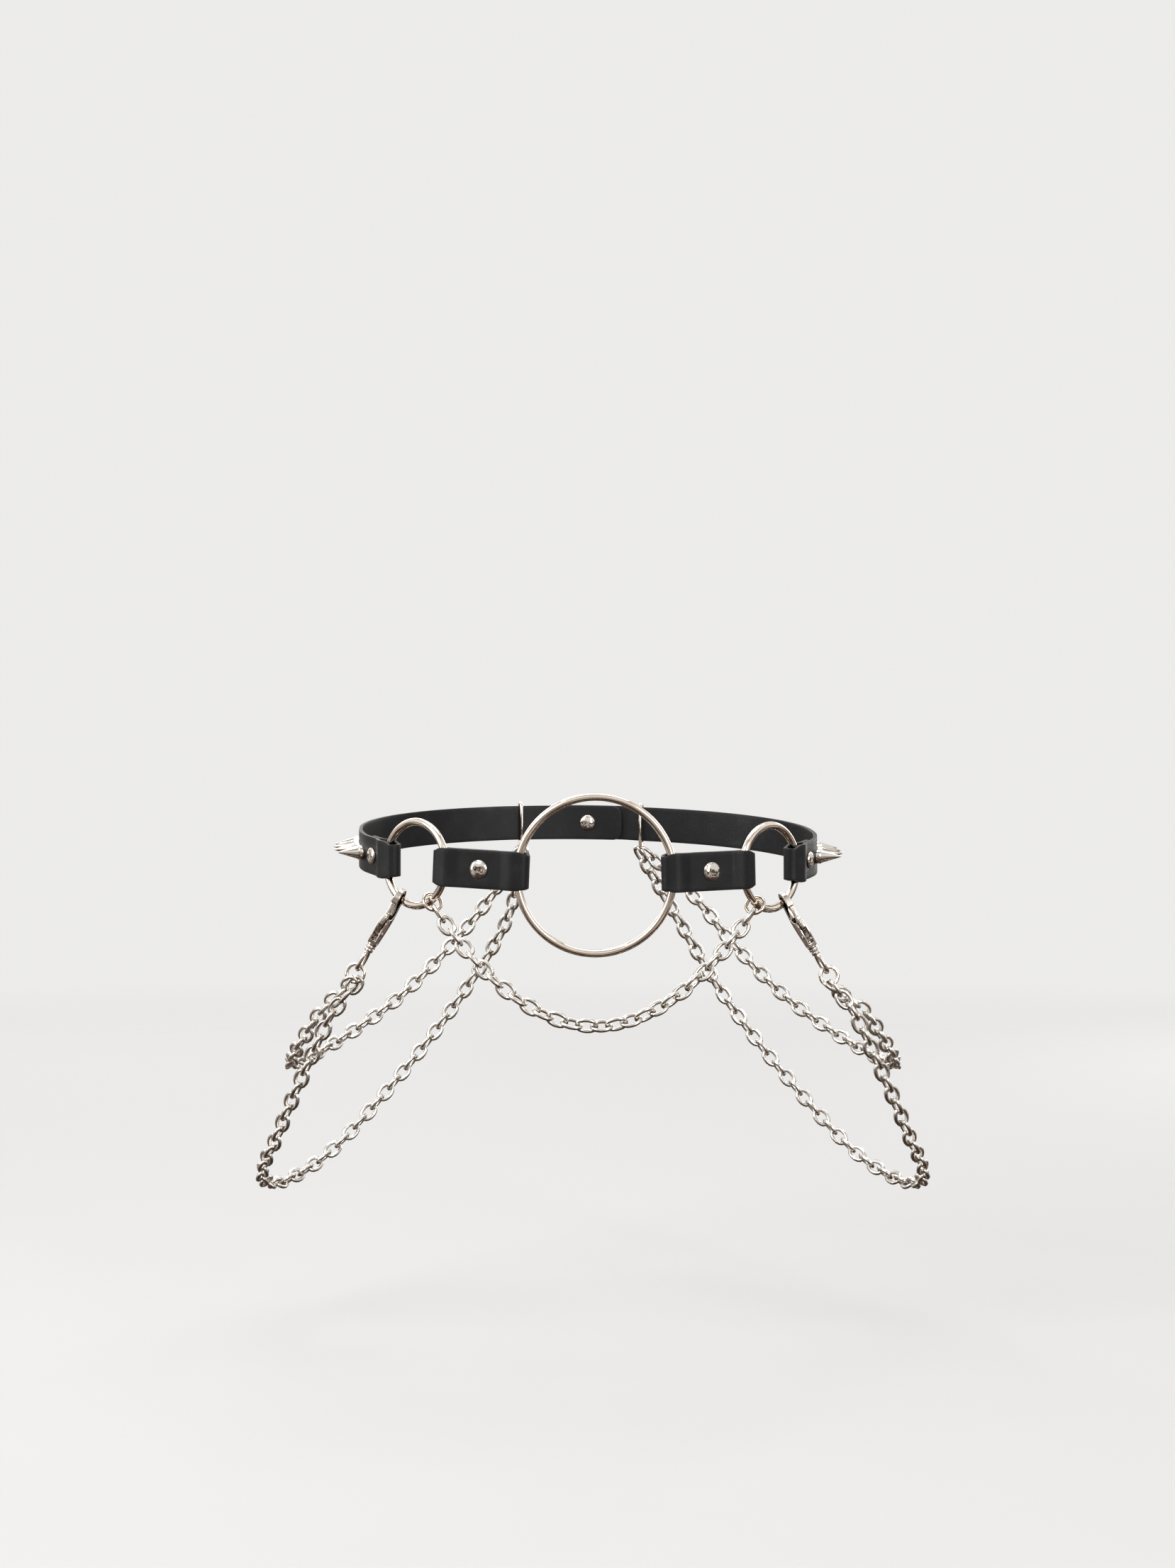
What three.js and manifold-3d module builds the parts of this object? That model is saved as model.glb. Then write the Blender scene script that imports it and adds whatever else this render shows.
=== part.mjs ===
import * as THREE from "three";
import { mergeVertices } from "three/addons/utils/BufferGeometryUtils.js";
import Module from "manifold-3d";

const wasm = await Module();
wasm.setup();

// A black leather belt with one large ring at the front, a small ring on each side, cone spikes on
// the side straps, a front swag of oval links and two hip chains a side, each pair on a trigger hook.
// Millimetres, +Z up. The front faces -Y and the waist's axis is the Z axis.

// The waist that the leather closes round, measured at the middle of the strap.
const WAIST_WIDTH = 249;
const WAIST_DEPTH = 188;
const WORN_SHIFT = 4; // the belt sits turned this far along the waist
const RISE_TO_BACK = 0.125; // height gained per millimetre towards the back
const RISE_ACROSS = -0.014; // height gained per millimetre towards +X

const STRAP_WIDTH = 20;
const LEATHER = 2;
const GAP = 0.3; // between pieces that touch
const STACK = LEATHER + GAP; // from one layer's middle to the next layer's

const RING_WIRE = 4;
const LARGE_RING_INNER = 76;
const SMALL_RING_INNER = 40;
const SMALL_RING_ARC = 99; // along the waist from the front centre
const SMALL_RING_OUT = 1.3; // from the middle of the leather
const SMALL_RING_TURN = 4; // degrees, further round than the waist's own tangent
const LOOP_SLACK = 0.5; // spare room in a leather loop past the ring's wire

const TAB_OVERLAP = 18;
const FOLD_RUN = 8; // over which a loop closes to its stack
const RIVET_HEAD = 9.6;
const RIVET_DOME = 1.7;
const RIVET_SHANK = 3;
const RIVET_BACK = 7.5;
const RIVET_BACK_THICK = 0.9;

const STRAP_TURN_IN = 19; // the folded end's length past the wire
const STRAP_RIVET_OUT = 12.5; // from the ring's wire
const STRAP_RIVET_HEAD = 8.6;
const STRAP_SETTLE = 34; // over which the outer layer comes down past the folded end
const STRAP_LIFT = 27; // over which the strap leaves the waist line for the ring
const BACK_OVERLAP = 40;
const RUN_STEP = 0.7 * STRAP_WIDTH; // between the points of a strap's run
const BACK_RISE = 14; // over which the outer strap end climbs onto the inner one
const POST_HEAD = 9;
const POST_HEAD_THICK = 1.2;

const SPIKES_A_SIDE = 4;
const SPIKE_FROM_RING = 47; // along the waist, from a small ring's middle
const SPIKE_FIRST_ARC = SMALL_RING_ARC + SPIKE_FROM_RING;
const SPIKE_PITCH = 10;
const SPIKE_BASE = 8;
const SPIKE_BASE_HEIGHT = 3;
const SPIKE_LENGTH = 14;
const SPIKE_SHANK = 3;
const SPIKE_SCREW_HEAD = 6.4;
const SPIKE_SCREW_THICK = 1;

// Chain links and jump rings.
const CHAIN_WIRE = 2;
const LINK_PITCH = 7.7;
const LINK_WIDTH = 9;
const LINK_GRIP = 0.5; // how far neighbours sink into each other, so that the chain is one body
const SWAG_LINKS = 28;
const SWAG_BULGE = 22; // how far the swag's middle stands in front of its ends
const SWAG_PULL = 0.55; // sideways share of the pull on the swag's jump rings
const SWAG_TWIST = [-10, 78]; // degrees that its links' faces are turned at the left and right ends
const JUMP_INNER = 7.6;
const JUMP_WIRE = 2;
const SWAG_JUMP_ANGLE = 57; // degrees below the small ring's inner side
const JUMP_TURN = 17; // degrees that the swag's jump rings are turned to the front
const HIP_CHAIN = 7;

// The trigger hooks, from the middle of the ring's wire that they hang on.
const CLIP_ANGLE = 55; // degrees below the small ring's outer side
const CLIP_LEAN_OUT = 30; // degrees from upright
const CLIP_TURN = 9; // degrees about its own length
const CLIP_THICK = 4.8;
const HOOK_TIP_THICK = 2.8; // across the hook's top, which narrows from the body
const HOOK_INNER = 7.8;
const HOOK_WALL = 2;
const HOOK_DROP = 0.9; // the hook's arc below the wire's middle
const HOOK_NOSE = 2.4; // straight end of the hook below its arc
const CLIP_LENGTH = 28; // from the wire's middle to the body's lower end
const CLIP_MOUTH = 12; // inner opening below the arc
const CLIP_FOOT = 6; // the body's width at its lower end
const COLLAR = 5.4;
const COLLAR_HEIGHT = 2.6;
const SLOT = 2.8;
const SLOT_BACK = 1.9; // solid wall behind the slot
const LEVER_THICK = 2.2;
const LEVER_DEPTH = 2.3;
const LEVER_KNOB = 2.4; // the thumb knob's height above the lever
const PIVOT_RISE = 6.5; // above the body's lower end
const PIVOT_PIN = 1.6;
const PIVOT_EYE = 2.1; // radius of the lever's end round its pin
const SHANK = 1.4;
const SHANK_HEAD = 2.2;
const SHANK_HEAD_THICK = 1;
const EYE_WIDTH = 8.8;
const EYE_LENGTH = 13;
const EYE_WIRE = 2.2;
const EYE_HUB = 4.6;
const EYE_HUB_HEIGHT = 2;
const EYE_TURN = 5; // degrees about the hook's length

// The plain loops over the strap at the back.
const BACK_LOOP_CLEAR = 16; // along the waist from the strap ends' overlap
const BACK_LOOP_INNER = 5;
const BACK_LOOP_WIRE = 2;
const BACK_LOOP_DROP = 5; // room under the strap

// The hip chains' routes on the +X side, in the frame of the hips, as chosen points x, y, z.
const HIP_SHIFT = 3;
const HIP_ROUTES = {
  long: [
    [138, -54, -75],
    [150, -47, -99],
    [162, -36, -124],
    [172, -23, -146],
    [181, -5, -163],
    [184, 17, -175],
    [177, 47, -181],
    [155, 77, -170],
    [119, 99, -132],
    [80, 109, -82],
    [51, 104, -34],
  ],
  short: [
    [144, -44, -74],
    [155, -32, -89],
    [161, -22, -98],
    [166, -4, -106],
    [168, 19, -110],
    [161, 45, -109],
    [142, 70, -99],
    [114, 87, -79],
    [85, 97, -50],
    [61, 97, -21],
  ],
};
const HIP_CHAIN_SIDES = 8;
const HIP_CHAIN_STEP = 3; // diameters of the chain

const LEATHER_LOOK = { color: 0x2a2a2c, roughness: 0.55, metalness: 0 };
const METAL_LOOK = { color: 0xc9c2b8, roughness: 0.2, metalness: 1 };

const radians = THREE.MathUtils.degToRad;
const smooth = THREE.MathUtils.smoothstep;
const UP = new THREE.Vector3(0, 0, 1);
const FORWARD = new THREE.Vector3(0, -1, 0);
const part = new THREE.Group();

// The front centre of the rings, and how high the belt's middle is over any point of the floor plan.
const FRONT_Y = -(WAIST_DEPTH / 2 - LEATHER / 2 + RING_WIRE / 2 + GAP);
function beltHeight(x, y) {
  return RISE_TO_BACK * (y - FRONT_Y) + RISE_ACROSS * (x - WORN_SHIFT);
}

// The waist line as a table of arc lengths, from the front centre round by +X.
const WAIST_STEPS = 720;
const waistArcs = [0];
function waistPlace(turn) {
  return new THREE.Vector2((WAIST_WIDTH / 2) * Math.sin(turn), (-WAIST_DEPTH / 2) * Math.cos(turn));
}
for (let i = 1; i <= WAIST_STEPS; i++) {
  const step = (2 * Math.PI) / WAIST_STEPS;
  const before = waistPlace((i - 1) * step);
  waistArcs.push(waistArcs[i - 1] + before.distanceTo(waistPlace(i * step)));
}
const WAIST_ROUND = waistArcs[WAIST_STEPS];

// The frame of the waist line at an arc length: place, tangent in growing arc, and outward normal.
function waistFrame(arc) {
  const wrapped = ((arc % WAIST_ROUND) + WAIST_ROUND) % WAIST_ROUND;
  let i = 0;
  while (waistArcs[i + 1] < wrapped) i++;
  const share = (wrapped - waistArcs[i]) / (waistArcs[i + 1] - waistArcs[i]);
  const turn = ((i + share) * 2 * Math.PI) / WAIST_STEPS;
  const tangent = new THREE.Vector2(
    (WAIST_WIDTH / 2) * Math.cos(turn),
    (WAIST_DEPTH / 2) * Math.sin(turn),
  ).normalize();
  return { place: waistPlace(turn), tangent, normal: new THREE.Vector2(tangent.y, -tangent.x) };
}

// A point on one side's strap: side is +1 or -1, arc from the belt's own front centre, out from the middle.
function onStrap(side, arc, out) {
  const { place, normal } = waistFrame(WORN_SHIFT + side * arc);
  return place.clone().addScaledVector(normal, out);
}

function solidOf(geometry) {
  const bare = geometry.clone();
  bare.deleteAttribute("normal");
  bare.deleteAttribute("uv");
  const merged = mergeVertices(bare, 1e-4);
  const index = merged.index.array;
  const kept = [];
  for (let i = 0; i < index.length; i += 3) {
    const [a, b, c] = [index[i], index[i + 1], index[i + 2]];
    if (a !== b && b !== c && a !== c) kept.push(a, b, c);
  }
  return new wasm.Manifold(
    new wasm.Mesh({
      numProp: 3,
      vertProperties: merged.attributes.position.array,
      triVerts: new Uint32Array(kept),
    }),
  );
}

function geometryOf(solid) {
  const mesh = solid.getMesh();
  return new THREE.BufferGeometry()
    .setAttribute("position", new THREE.BufferAttribute(mesh.vertProperties, mesh.numProp))
    .setIndex(new THREE.BufferAttribute(mesh.triVerts, 1));
}

function join(...geometries) {
  return geometryOf(geometries.map(solidOf).reduce((all, next) => all.add(next)));
}

function cut(body, ...tools) {
  return geometryOf(tools.map(solidOf).reduce((left, tool) => left.subtract(tool), solidOf(body)));
}

function addPiece(name, geometry, look, matrix, parent = part) {
  const mesh = new THREE.Mesh(geometry, new THREE.MeshStandardMaterial(look));
  mesh.name = name;
  if (matrix) matrix.decompose(mesh.position, mesh.quaternion, mesh.scale);
  parent.add(mesh);
  return mesh;
}

// A body turned from a profile of radius and height pairs, about the Z axis.
function turned(profile, sides) {
  const points = profile.map(([radius, height]) => new THREE.Vector2(radius, height));
  return new THREE.LatheGeometry(points, sides).rotateX(Math.PI / 2);
}

function pin(radius, from, to, sides = 12) {
  return turned(
    [
      [0, from],
      [radius, from],
      [radius, to],
      [0, to],
    ],
    sides,
  );
}

// An oval link in the XY plane, its length along X. With length equal to width it is a round ring.
function oval(length, width, wire, around, sides) {
  const link = new THREE.TorusGeometry((width - wire) / 2, wire / 2, sides, around);
  if (around % 4 === 0) link.rotateZ(Math.PI / around);
  const place = link.attributes.position;
  for (let i = 0; i < place.count; i++) {
    place.setX(i, place.getX(i) + (Math.sign(place.getX(i)) * (length - width)) / 2);
  }
  return link;
}

function frameAt(origin, x, y, z) {
  return new THREE.Matrix4().makeBasis(x, y, z).setPosition(origin);
}

// The outline of a strip of leather that follows the middle points given in its own plane.
function stripShape(middle) {
  const leftEdge = [];
  const rightEdge = [];
  middle.forEach((point, i) => {
    const before = point.clone().sub(middle[Math.max(i - 1, 0)]).normalize();
    const after = middle[Math.min(i + 1, middle.length - 1)].clone().sub(point).normalize();
    const along = before.clone().add(after).normalize();
    const bend = Math.max(along.dot(i === 0 ? after : before), 0.5);
    const side = new THREE.Vector2(-along.y, along.x).multiplyScalar(LEATHER / 2 / bend);
    leftEdge.push(point.clone().add(side));
    rightEdge.push(point.clone().sub(side));
  });
  return new THREE.Shape([...leftEdge, ...rightEdge.reverse()]);
}

function strip(middle) {
  const body = new THREE.ExtrudeGeometry(stripShape(middle), { depth: STRAP_WIDTH, bevelEnabled: false });
  return body.translate(0, 0, -STRAP_WIDTH / 2);
}

// The strip's middle points where it folds round a ring's wire. Into points from the strap into the
// ring, out points outwards, and back(d) and front(d) are where the two layers settle, d from the wire.
const LOOP_STEPS = 6;
const LOOP_OUT = RING_WIRE / 2 + GAP + LEATHER / 2;
const SETTLE_SHARES = [0.15, 0.5, 1];
function foldPoints(wire, into, out, reach, back, front) {
  const layer = (share, sign, settled) => {
    const d = share * FOLD_RUN;
    const near = wire.clone().addScaledVector(into, -d).addScaledVector(out, sign * LOOP_OUT);
    return near.lerp(settled(d), smooth(share, 0.1, 1));
  };
  const halfTurn = Array.from({ length: LOOP_STEPS + 1 }, (_, i) => {
    const angle = (Math.PI * i) / LOOP_STEPS;
    return wire
      .clone()
      .addScaledVector(into, reach + LOOP_OUT * Math.sin(angle))
      .addScaledVector(out, -LOOP_OUT * Math.cos(angle));
  });
  return [
    ...SETTLE_SHARES.toReversed().map((share) => layer(share, -1, back)),
    ...halfTurn,
    ...SETTLE_SHARES.map((share) => layer(share, 1, front)),
  ];
}

// How far a loop must reach past the wire, because the ring curves away within the strap's width.
function loopReach(ringRadius, halfHeight) {
  return ringRadius - Math.sqrt(ringRadius ** 2 - halfHeight ** 2) + GAP + LOOP_SLACK;
}

// Rings.
const LARGE_RADIUS = (LARGE_RING_INNER + RING_WIRE) / 2;
const SMALL_RADIUS = (SMALL_RING_INNER + RING_WIRE) / 2;
const largeCentre = new THREE.Vector3(WORN_SHIFT, FRONT_Y, 0);
const largeRing = new THREE.TorusGeometry(LARGE_RADIUS, RING_WIRE / 2, 8, 36);
addPiece("ring_large", largeRing, METAL_LOOK, new THREE.Matrix4().makeRotationX(Math.PI / 2).setPosition(largeCentre));

function smallRingFrame(side) {
  const { place, tangent, normal } = waistFrame(WORN_SHIFT + side * SMALL_RING_ARC);
  const turn = side * radians(SMALL_RING_TURN);
  const away = tangent.multiplyScalar(side).rotateAround(new THREE.Vector2(), turn);
  const out = normal.clone().rotateAround(new THREE.Vector2(), turn);
  const at = place.addScaledVector(normal, SMALL_RING_OUT);
  const centre = new THREE.Vector3(at.x, at.y, beltHeight(at.x, at.y));
  const awayAxis = new THREE.Vector3(away.x, away.y, 0);
  const outAxis = new THREE.Vector3(out.x, out.y, 0);
  return { centre, awayAxis, outAxis, away, out };
}

// A place on the wire of a small ring, by the angle below its outer (+1) or inner (-1) side.
function onSmallRing(frame, toward, degrees) {
  return frame.centre
    .clone()
    .addScaledVector(frame.awayAxis, toward * SMALL_RADIUS * Math.cos(radians(degrees)))
    .addScaledVector(UP, -SMALL_RADIUS * Math.sin(radians(degrees)));
}

// A rivet along Z: domed head in front of headAt, flat head behind backAt.
function rivet(head, headAt, backAt) {
  const dome = [1, 0.75, 0].map((share) => [
    (share * head) / 2,
    headAt + GAP + RIVET_DOME * (0.25 + 0.75 * Math.sqrt(1 - share ** 2)),
  ]);
  return turned(
    [
      [0, backAt - GAP - RIVET_BACK_THICK],
      [RIVET_BACK / 2, backAt - GAP - RIVET_BACK_THICK],
      [RIVET_BACK / 2, backAt - GAP],
      [RIVET_SHANK / 2, backAt - GAP],
      [RIVET_SHANK / 2, headAt + GAP],
      [head / 2, headAt + GAP],
      ...dome,
    ],
    10,
  );
}

function hole(shank, from, to) {
  return pin(shank / 2 + GAP, from, to, 10);
}

// A tab: one strip folded round both wires, its ends overlapping behind, in a plane with x from the
// large ring to the small one and y outwards.
function buildTab(name, side, ring) {
  const flat = Math.hypot(ring.centre.x - largeCentre.x, ring.centre.y - largeCentre.y);
  const slope = Math.atan2(ring.centre.z - largeCentre.z, flat);
  const from = largeCentre
    .clone()
    .add(new THREE.Vector3(side * LARGE_RADIUS * Math.cos(slope), 0, LARGE_RADIUS * Math.sin(slope)));
  const to = onSmallRing(ring, -1, THREE.MathUtils.radToDeg(slope));
  const along = to.clone().sub(from);
  const length = along.length();
  along.normalize();
  const out = new THREE.Vector3().crossVectors(along, UP).multiplyScalar(side).normalize();
  const across = new THREE.Vector3().crossVectors(along, out);
  const spot = (u, v) => new THREE.Vector2(u, v);
  const inPlane = (axis) => spot(axis.dot(along), axis.dot(out)).normalize();
  const largeInto = new THREE.Vector3(-side, 0, 0);
  const smallInto = ring.awayAxis;
  const largeFold = foldPoints(
    spot(0, 0),
    inPlane(largeInto),
    inPlane(FORWARD),
    loopReach(LARGE_RADIUS, STRAP_WIDTH / 2),
    (d) => spot(d, 0),
    (d) => spot(d, STACK),
  );
  const smallFold = foldPoints(
    spot(length, 0),
    inPlane(smallInto),
    inPlane(ring.outAxis),
    loopReach(SMALL_RADIUS, STRAP_WIDTH / 2),
    (d) => spot(length - d, -STACK),
    (d) => spot(length - d, STACK),
  );
  const middle = length / 2;
  const end = TAB_OVERLAP / 2;
  const points = [spot(middle + end, 0), ...largeFold, ...smallFold.reverse(), spot(middle - end, -STACK)];
  const frame = frameAt(from, along, out, across);
  const toRivet = new THREE.Matrix4().makeRotationX(-Math.PI / 2).setPosition(middle, 0, 0);
  const front = STACK + LEATHER / 2;
  const tabHole = hole(RIVET_SHANK, -2 * front, 2 * front).applyMatrix4(toRivet);
  addPiece(name, cut(strip(points), tabHole), LEATHER_LOOK, frame);
  const stud = rivet(RIVET_HEAD, front, -front).applyMatrix4(toRivet);
  addPiece(name.replace("tab", "tab_rivet"), stud, METAL_LOOK, frame);
}

const HALF_ROUND = WAIST_ROUND / 2;

// The frame of a side strap's middle at an arc: x along it, y up, z outwards, where outAt(arc) is how
// far it lies out from the waist line. It follows the chord that reaches to both sides of the arc.
function strapFrame(side, arc, outAt, reach = GAP) {
  const ahead = onStrap(side, arc + reach, outAt(arc + reach));
  const behind = onStrap(side, arc - reach, outAt(arc - reach));
  const at = ahead.clone().add(behind).multiplyScalar(0.5);
  const along = ahead.sub(behind).multiplyScalar(side).normalize();
  const alongAxis = new THREE.Vector3(along.x, along.y, 0);
  const outAxis = new THREE.Vector3(along.y, -along.x, 0);
  return frameAt(new THREE.Vector3(at.x, at.y, beltHeight(at.x, at.y)), alongAxis, UP, outAxis);
}

// Arc lengths after the first one up to the last, in even steps no longer than the one given.
function spread(from, to, most) {
  const count = Math.ceil((to - from) / most);
  return Array.from({ length: count }, (_, i) => from + ((to - from) * (i + 1)) / count);
}

// A side strap and what is fixed through it. d is the distance along the strap from the ring's wire.
function buildStrap(side, sideName, ring) {
  const wireArc = SMALL_RING_ARC + SMALL_RADIUS;
  const wire = new THREE.Vector2(ring.centre.x, ring.centre.y).addScaledVector(ring.away, SMALL_RADIUS);
  const base = waistFrame(WORN_SHIFT + side * wireArc);
  const wireOut = wire.clone().sub(base.place).dot(base.normal);
  const lift = (d) => (wireOut - STACK / 2) * (1 - Math.min(d / STRAP_LIFT, 1)) ** 2;
  const outerOut = (d) => lift(d) + STACK * (1 - smooth(d, STRAP_TURN_IN - GAP, STRAP_TURN_IN + STRAP_SETTLE));
  const rise = beltHeight(wire.x, wire.y) - ring.centre.z;
  const fold = foldPoints(
    wire,
    ring.away.clone().negate(),
    ring.out,
    loopReach(SMALL_RADIUS, STRAP_WIDTH / 2 + Math.abs(rise)),
    (d) => onStrap(side, wireArc + d, lift(d)),
    (d) => onStrap(side, wireArc + d, lift(d) + STACK),
  );
  const turnedEnd = [STRAP_TURN_IN, (STRAP_TURN_IN + FOLD_RUN) / 2].map((d) => onStrap(side, wireArc + d, lift(d)));
  const endArc = HALF_ROUND + BACK_OVERLAP / 2 - side * WORN_SHIFT;
  const overlapArc = endArc - BACK_OVERLAP - GAP;
  const riseArc = overlapArc - BACK_RISE;
  const backStack = (arc) => (side > 0 ? STACK * smooth(arc, riseArc, overlapArc) : 0);
  const outAt = (arc) => outerOut(arc - wireArc) + backStack(arc);
  const firstSeat = SPIKE_FIRST_ARC - SPIKE_PITCH / 2;
  const lastSeat = firstSeat + SPIKES_A_SIDE * SPIKE_PITCH;
  const arcs = [
    ...spread(wireArc + FOLD_RUN, firstSeat, RUN_STEP),
    ...spread(firstSeat, lastSeat, SPIKE_PITCH + GAP),
    ...spread(lastSeat, riseArc, RUN_STEP),
    ...spread(riseArc, overlapArc, BACK_RISE / 4),
    ...spread(overlapArc, endArc, RUN_STEP),
  ];
  const points = [...turnedEnd, ...fold, ...arcs.map((arc) => onStrap(side, arc, outAt(arc)))];
  const holes = [];
  const through = 4 * STACK;
  const addHole = (frame, shank) => holes.push(hole(shank, -through, through).applyMatrix4(frame));
  const flatStrip = strip(points);
  const place = flatStrip.attributes.position;
  for (let i = 0; i < place.count; i++) {
    place.setZ(i, place.getZ(i) + beltHeight(place.getX(i), place.getY(i)));
  }

  const rivetFrame = strapFrame(side, wireArc + STRAP_RIVET_OUT, outAt);
  addHole(rivetFrame, RIVET_SHANK);
  const stud = rivet(STRAP_RIVET_HEAD, LEATHER / 2, -STACK - LEATHER / 2);
  addPiece(`strap_rivet_${sideName}`, stud, METAL_LOOK, rivetFrame);

  for (let i = 0; i < SPIKES_A_SIDE; i++) {
    const frame = strapFrame(side, SPIKE_FIRST_ARC + i * SPIKE_PITCH, outAt, SPIKE_PITCH / 2);
    addHole(frame, SPIKE_SHANK);
    addPiece(`spike_${sideName}_${i + 1}`, spike(), METAL_LOOK, frame);
  }
  addHole(strapFrame(side, HALF_ROUND - side * WORN_SHIFT, () => 0), RIVET_SHANK);
  addPiece(`strap_${sideName}`, cut(flatStrip, ...holes), LEATHER_LOOK);
}

// A cone spike on the strap's outer face, its shank through the leather to a flat screw head.
function spike() {
  const seat = LEATHER / 2 + GAP;
  const inner = -seat;
  return turned(
    [
      [0, inner - SPIKE_SCREW_THICK],
      [SPIKE_SCREW_HEAD / 2, inner - SPIKE_SCREW_THICK],
      [SPIKE_SCREW_HEAD / 2, inner],
      [SPIKE_SHANK / 2, inner],
      [SPIKE_SHANK / 2, seat],
      [SPIKE_BASE / 2, seat],
      [SPIKE_BASE / 2, seat + SPIKE_BASE_HEIGHT],
      [0, seat + SPIKE_LENGTH],
    ],
    9,
  );
}

// The trigger hook in its own plane: x towards the gate, y up its length, from the wire's middle.
const HOOK_RADIUS = HOOK_INNER / 2;
const HOOK_OUTER = HOOK_RADIUS + HOOK_WALL;
const HOOK_STEPS = 8;
const MOUTH_FLOOR = -(HOOK_DROP + CLIP_MOUTH);
const NOSE_END = -(HOOK_DROP + HOOK_NOSE);
const LEVER_FRONT = HOOK_OUTER - GAP;
const PIVOT_BELOW = CLIP_LENGTH - PIVOT_RISE;
const PIVOT_X = HOOK_OUTER - LEVER_DEPTH / 2 - PIVOT_EYE - PIVOT_PIN / 2;

function hookShape() {
  const arc = (radius, from, to) =>
    Array.from({ length: HOOK_STEPS + 1 }, (_, i) => {
      const angle = from + ((to - from) * i) / HOOK_STEPS;
      return new THREE.Vector2(radius * Math.cos(angle), radius * Math.sin(angle) - HOOK_DROP);
    });
  return new THREE.Shape([
    new THREE.Vector2(HOOK_OUTER, NOSE_END),
    ...arc(HOOK_OUTER, 0, Math.PI),
    new THREE.Vector2(-HOOK_OUTER, MOUTH_FLOOR),
    new THREE.Vector2(-CLIP_FOOT / 2, -CLIP_LENGTH),
    new THREE.Vector2(CLIP_FOOT / 2, -CLIP_LENGTH),
    new THREE.Vector2(HOOK_OUTER - LEVER_DEPTH / 2, -PIVOT_BELOW),
    new THREE.Vector2(HOOK_OUTER - LEVER_DEPTH / 2, MOUTH_FLOOR - LEVER_DEPTH),
    new THREE.Vector2(HOOK_RADIUS - LEVER_DEPTH / 2, MOUTH_FLOOR),
    new THREE.Vector2(-HOOK_RADIUS, MOUTH_FLOOR + LEVER_DEPTH),
    ...arc(HOOK_RADIUS, Math.PI, 0),
    new THREE.Vector2(HOOK_RADIUS, NOSE_END),
  ]);
}


// The lever's outline about its pivot.
function leverShape() {
  const front = LEVER_FRONT - PIVOT_X;
  const top = NOSE_END - GAP + PIVOT_BELOW;
  const knobTop = top * 0.5;
  const knobFoot = top * 0.24;
  const spots = [
    [front - LEVER_DEPTH, top],
    [front, top],
    [front, knobTop + LEVER_KNOB],
    [front + LEVER_KNOB, knobTop],
    [front + LEVER_KNOB, knobFoot],
    [front - LEVER_DEPTH / 4, knobFoot - LEVER_KNOB / 2],
    [PIVOT_EYE, 0],
    [0.71 * PIVOT_EYE, -0.71 * PIVOT_EYE],
    [0, -PIVOT_EYE],
    [-0.71 * PIVOT_EYE, -0.71 * PIVOT_EYE],
    [-PIVOT_EYE, 0],
    [front - LEVER_DEPTH, knobTop + LEVER_KNOB],
  ];
  return new THREE.Shape(spots.map(([x, y]) => new THREE.Vector2(x, y)));
}

// A plate in the hook's plane, centred on that plane, with z across its thickness.
function plate(shape, thick) {
  return new THREE.ExtrudeGeometry(shape, { depth: thick, bevelEnabled: false }).translate(0, 0, -thick / 2);
}

// What comes off one face (z = 1 or -1) of the plate, so that the hook narrows towards its top.
function taperCut(z) {
  const foot = MOUTH_FLOOR + LEVER_DEPTH;
  const spots = [
    [foot, CLIP_THICK / 2],
    [HOOK_OUTER, HOOK_TIP_THICK / 2],
    [HOOK_OUTER, CLIP_THICK],
    [foot, CLIP_THICK],
  ];
  const wedge = plate(new THREE.Shape(spots.map(([y, out]) => new THREE.Vector2(y, z * out))), 4 * HOOK_OUTER);
  const [x, y, across] = [0, 1, 2].map((axis) => new THREE.Vector3().setComponent(axis, 1));
  return wedge.applyMatrix4(new THREE.Matrix4().makeBasis(y, across, x));
}

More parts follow.
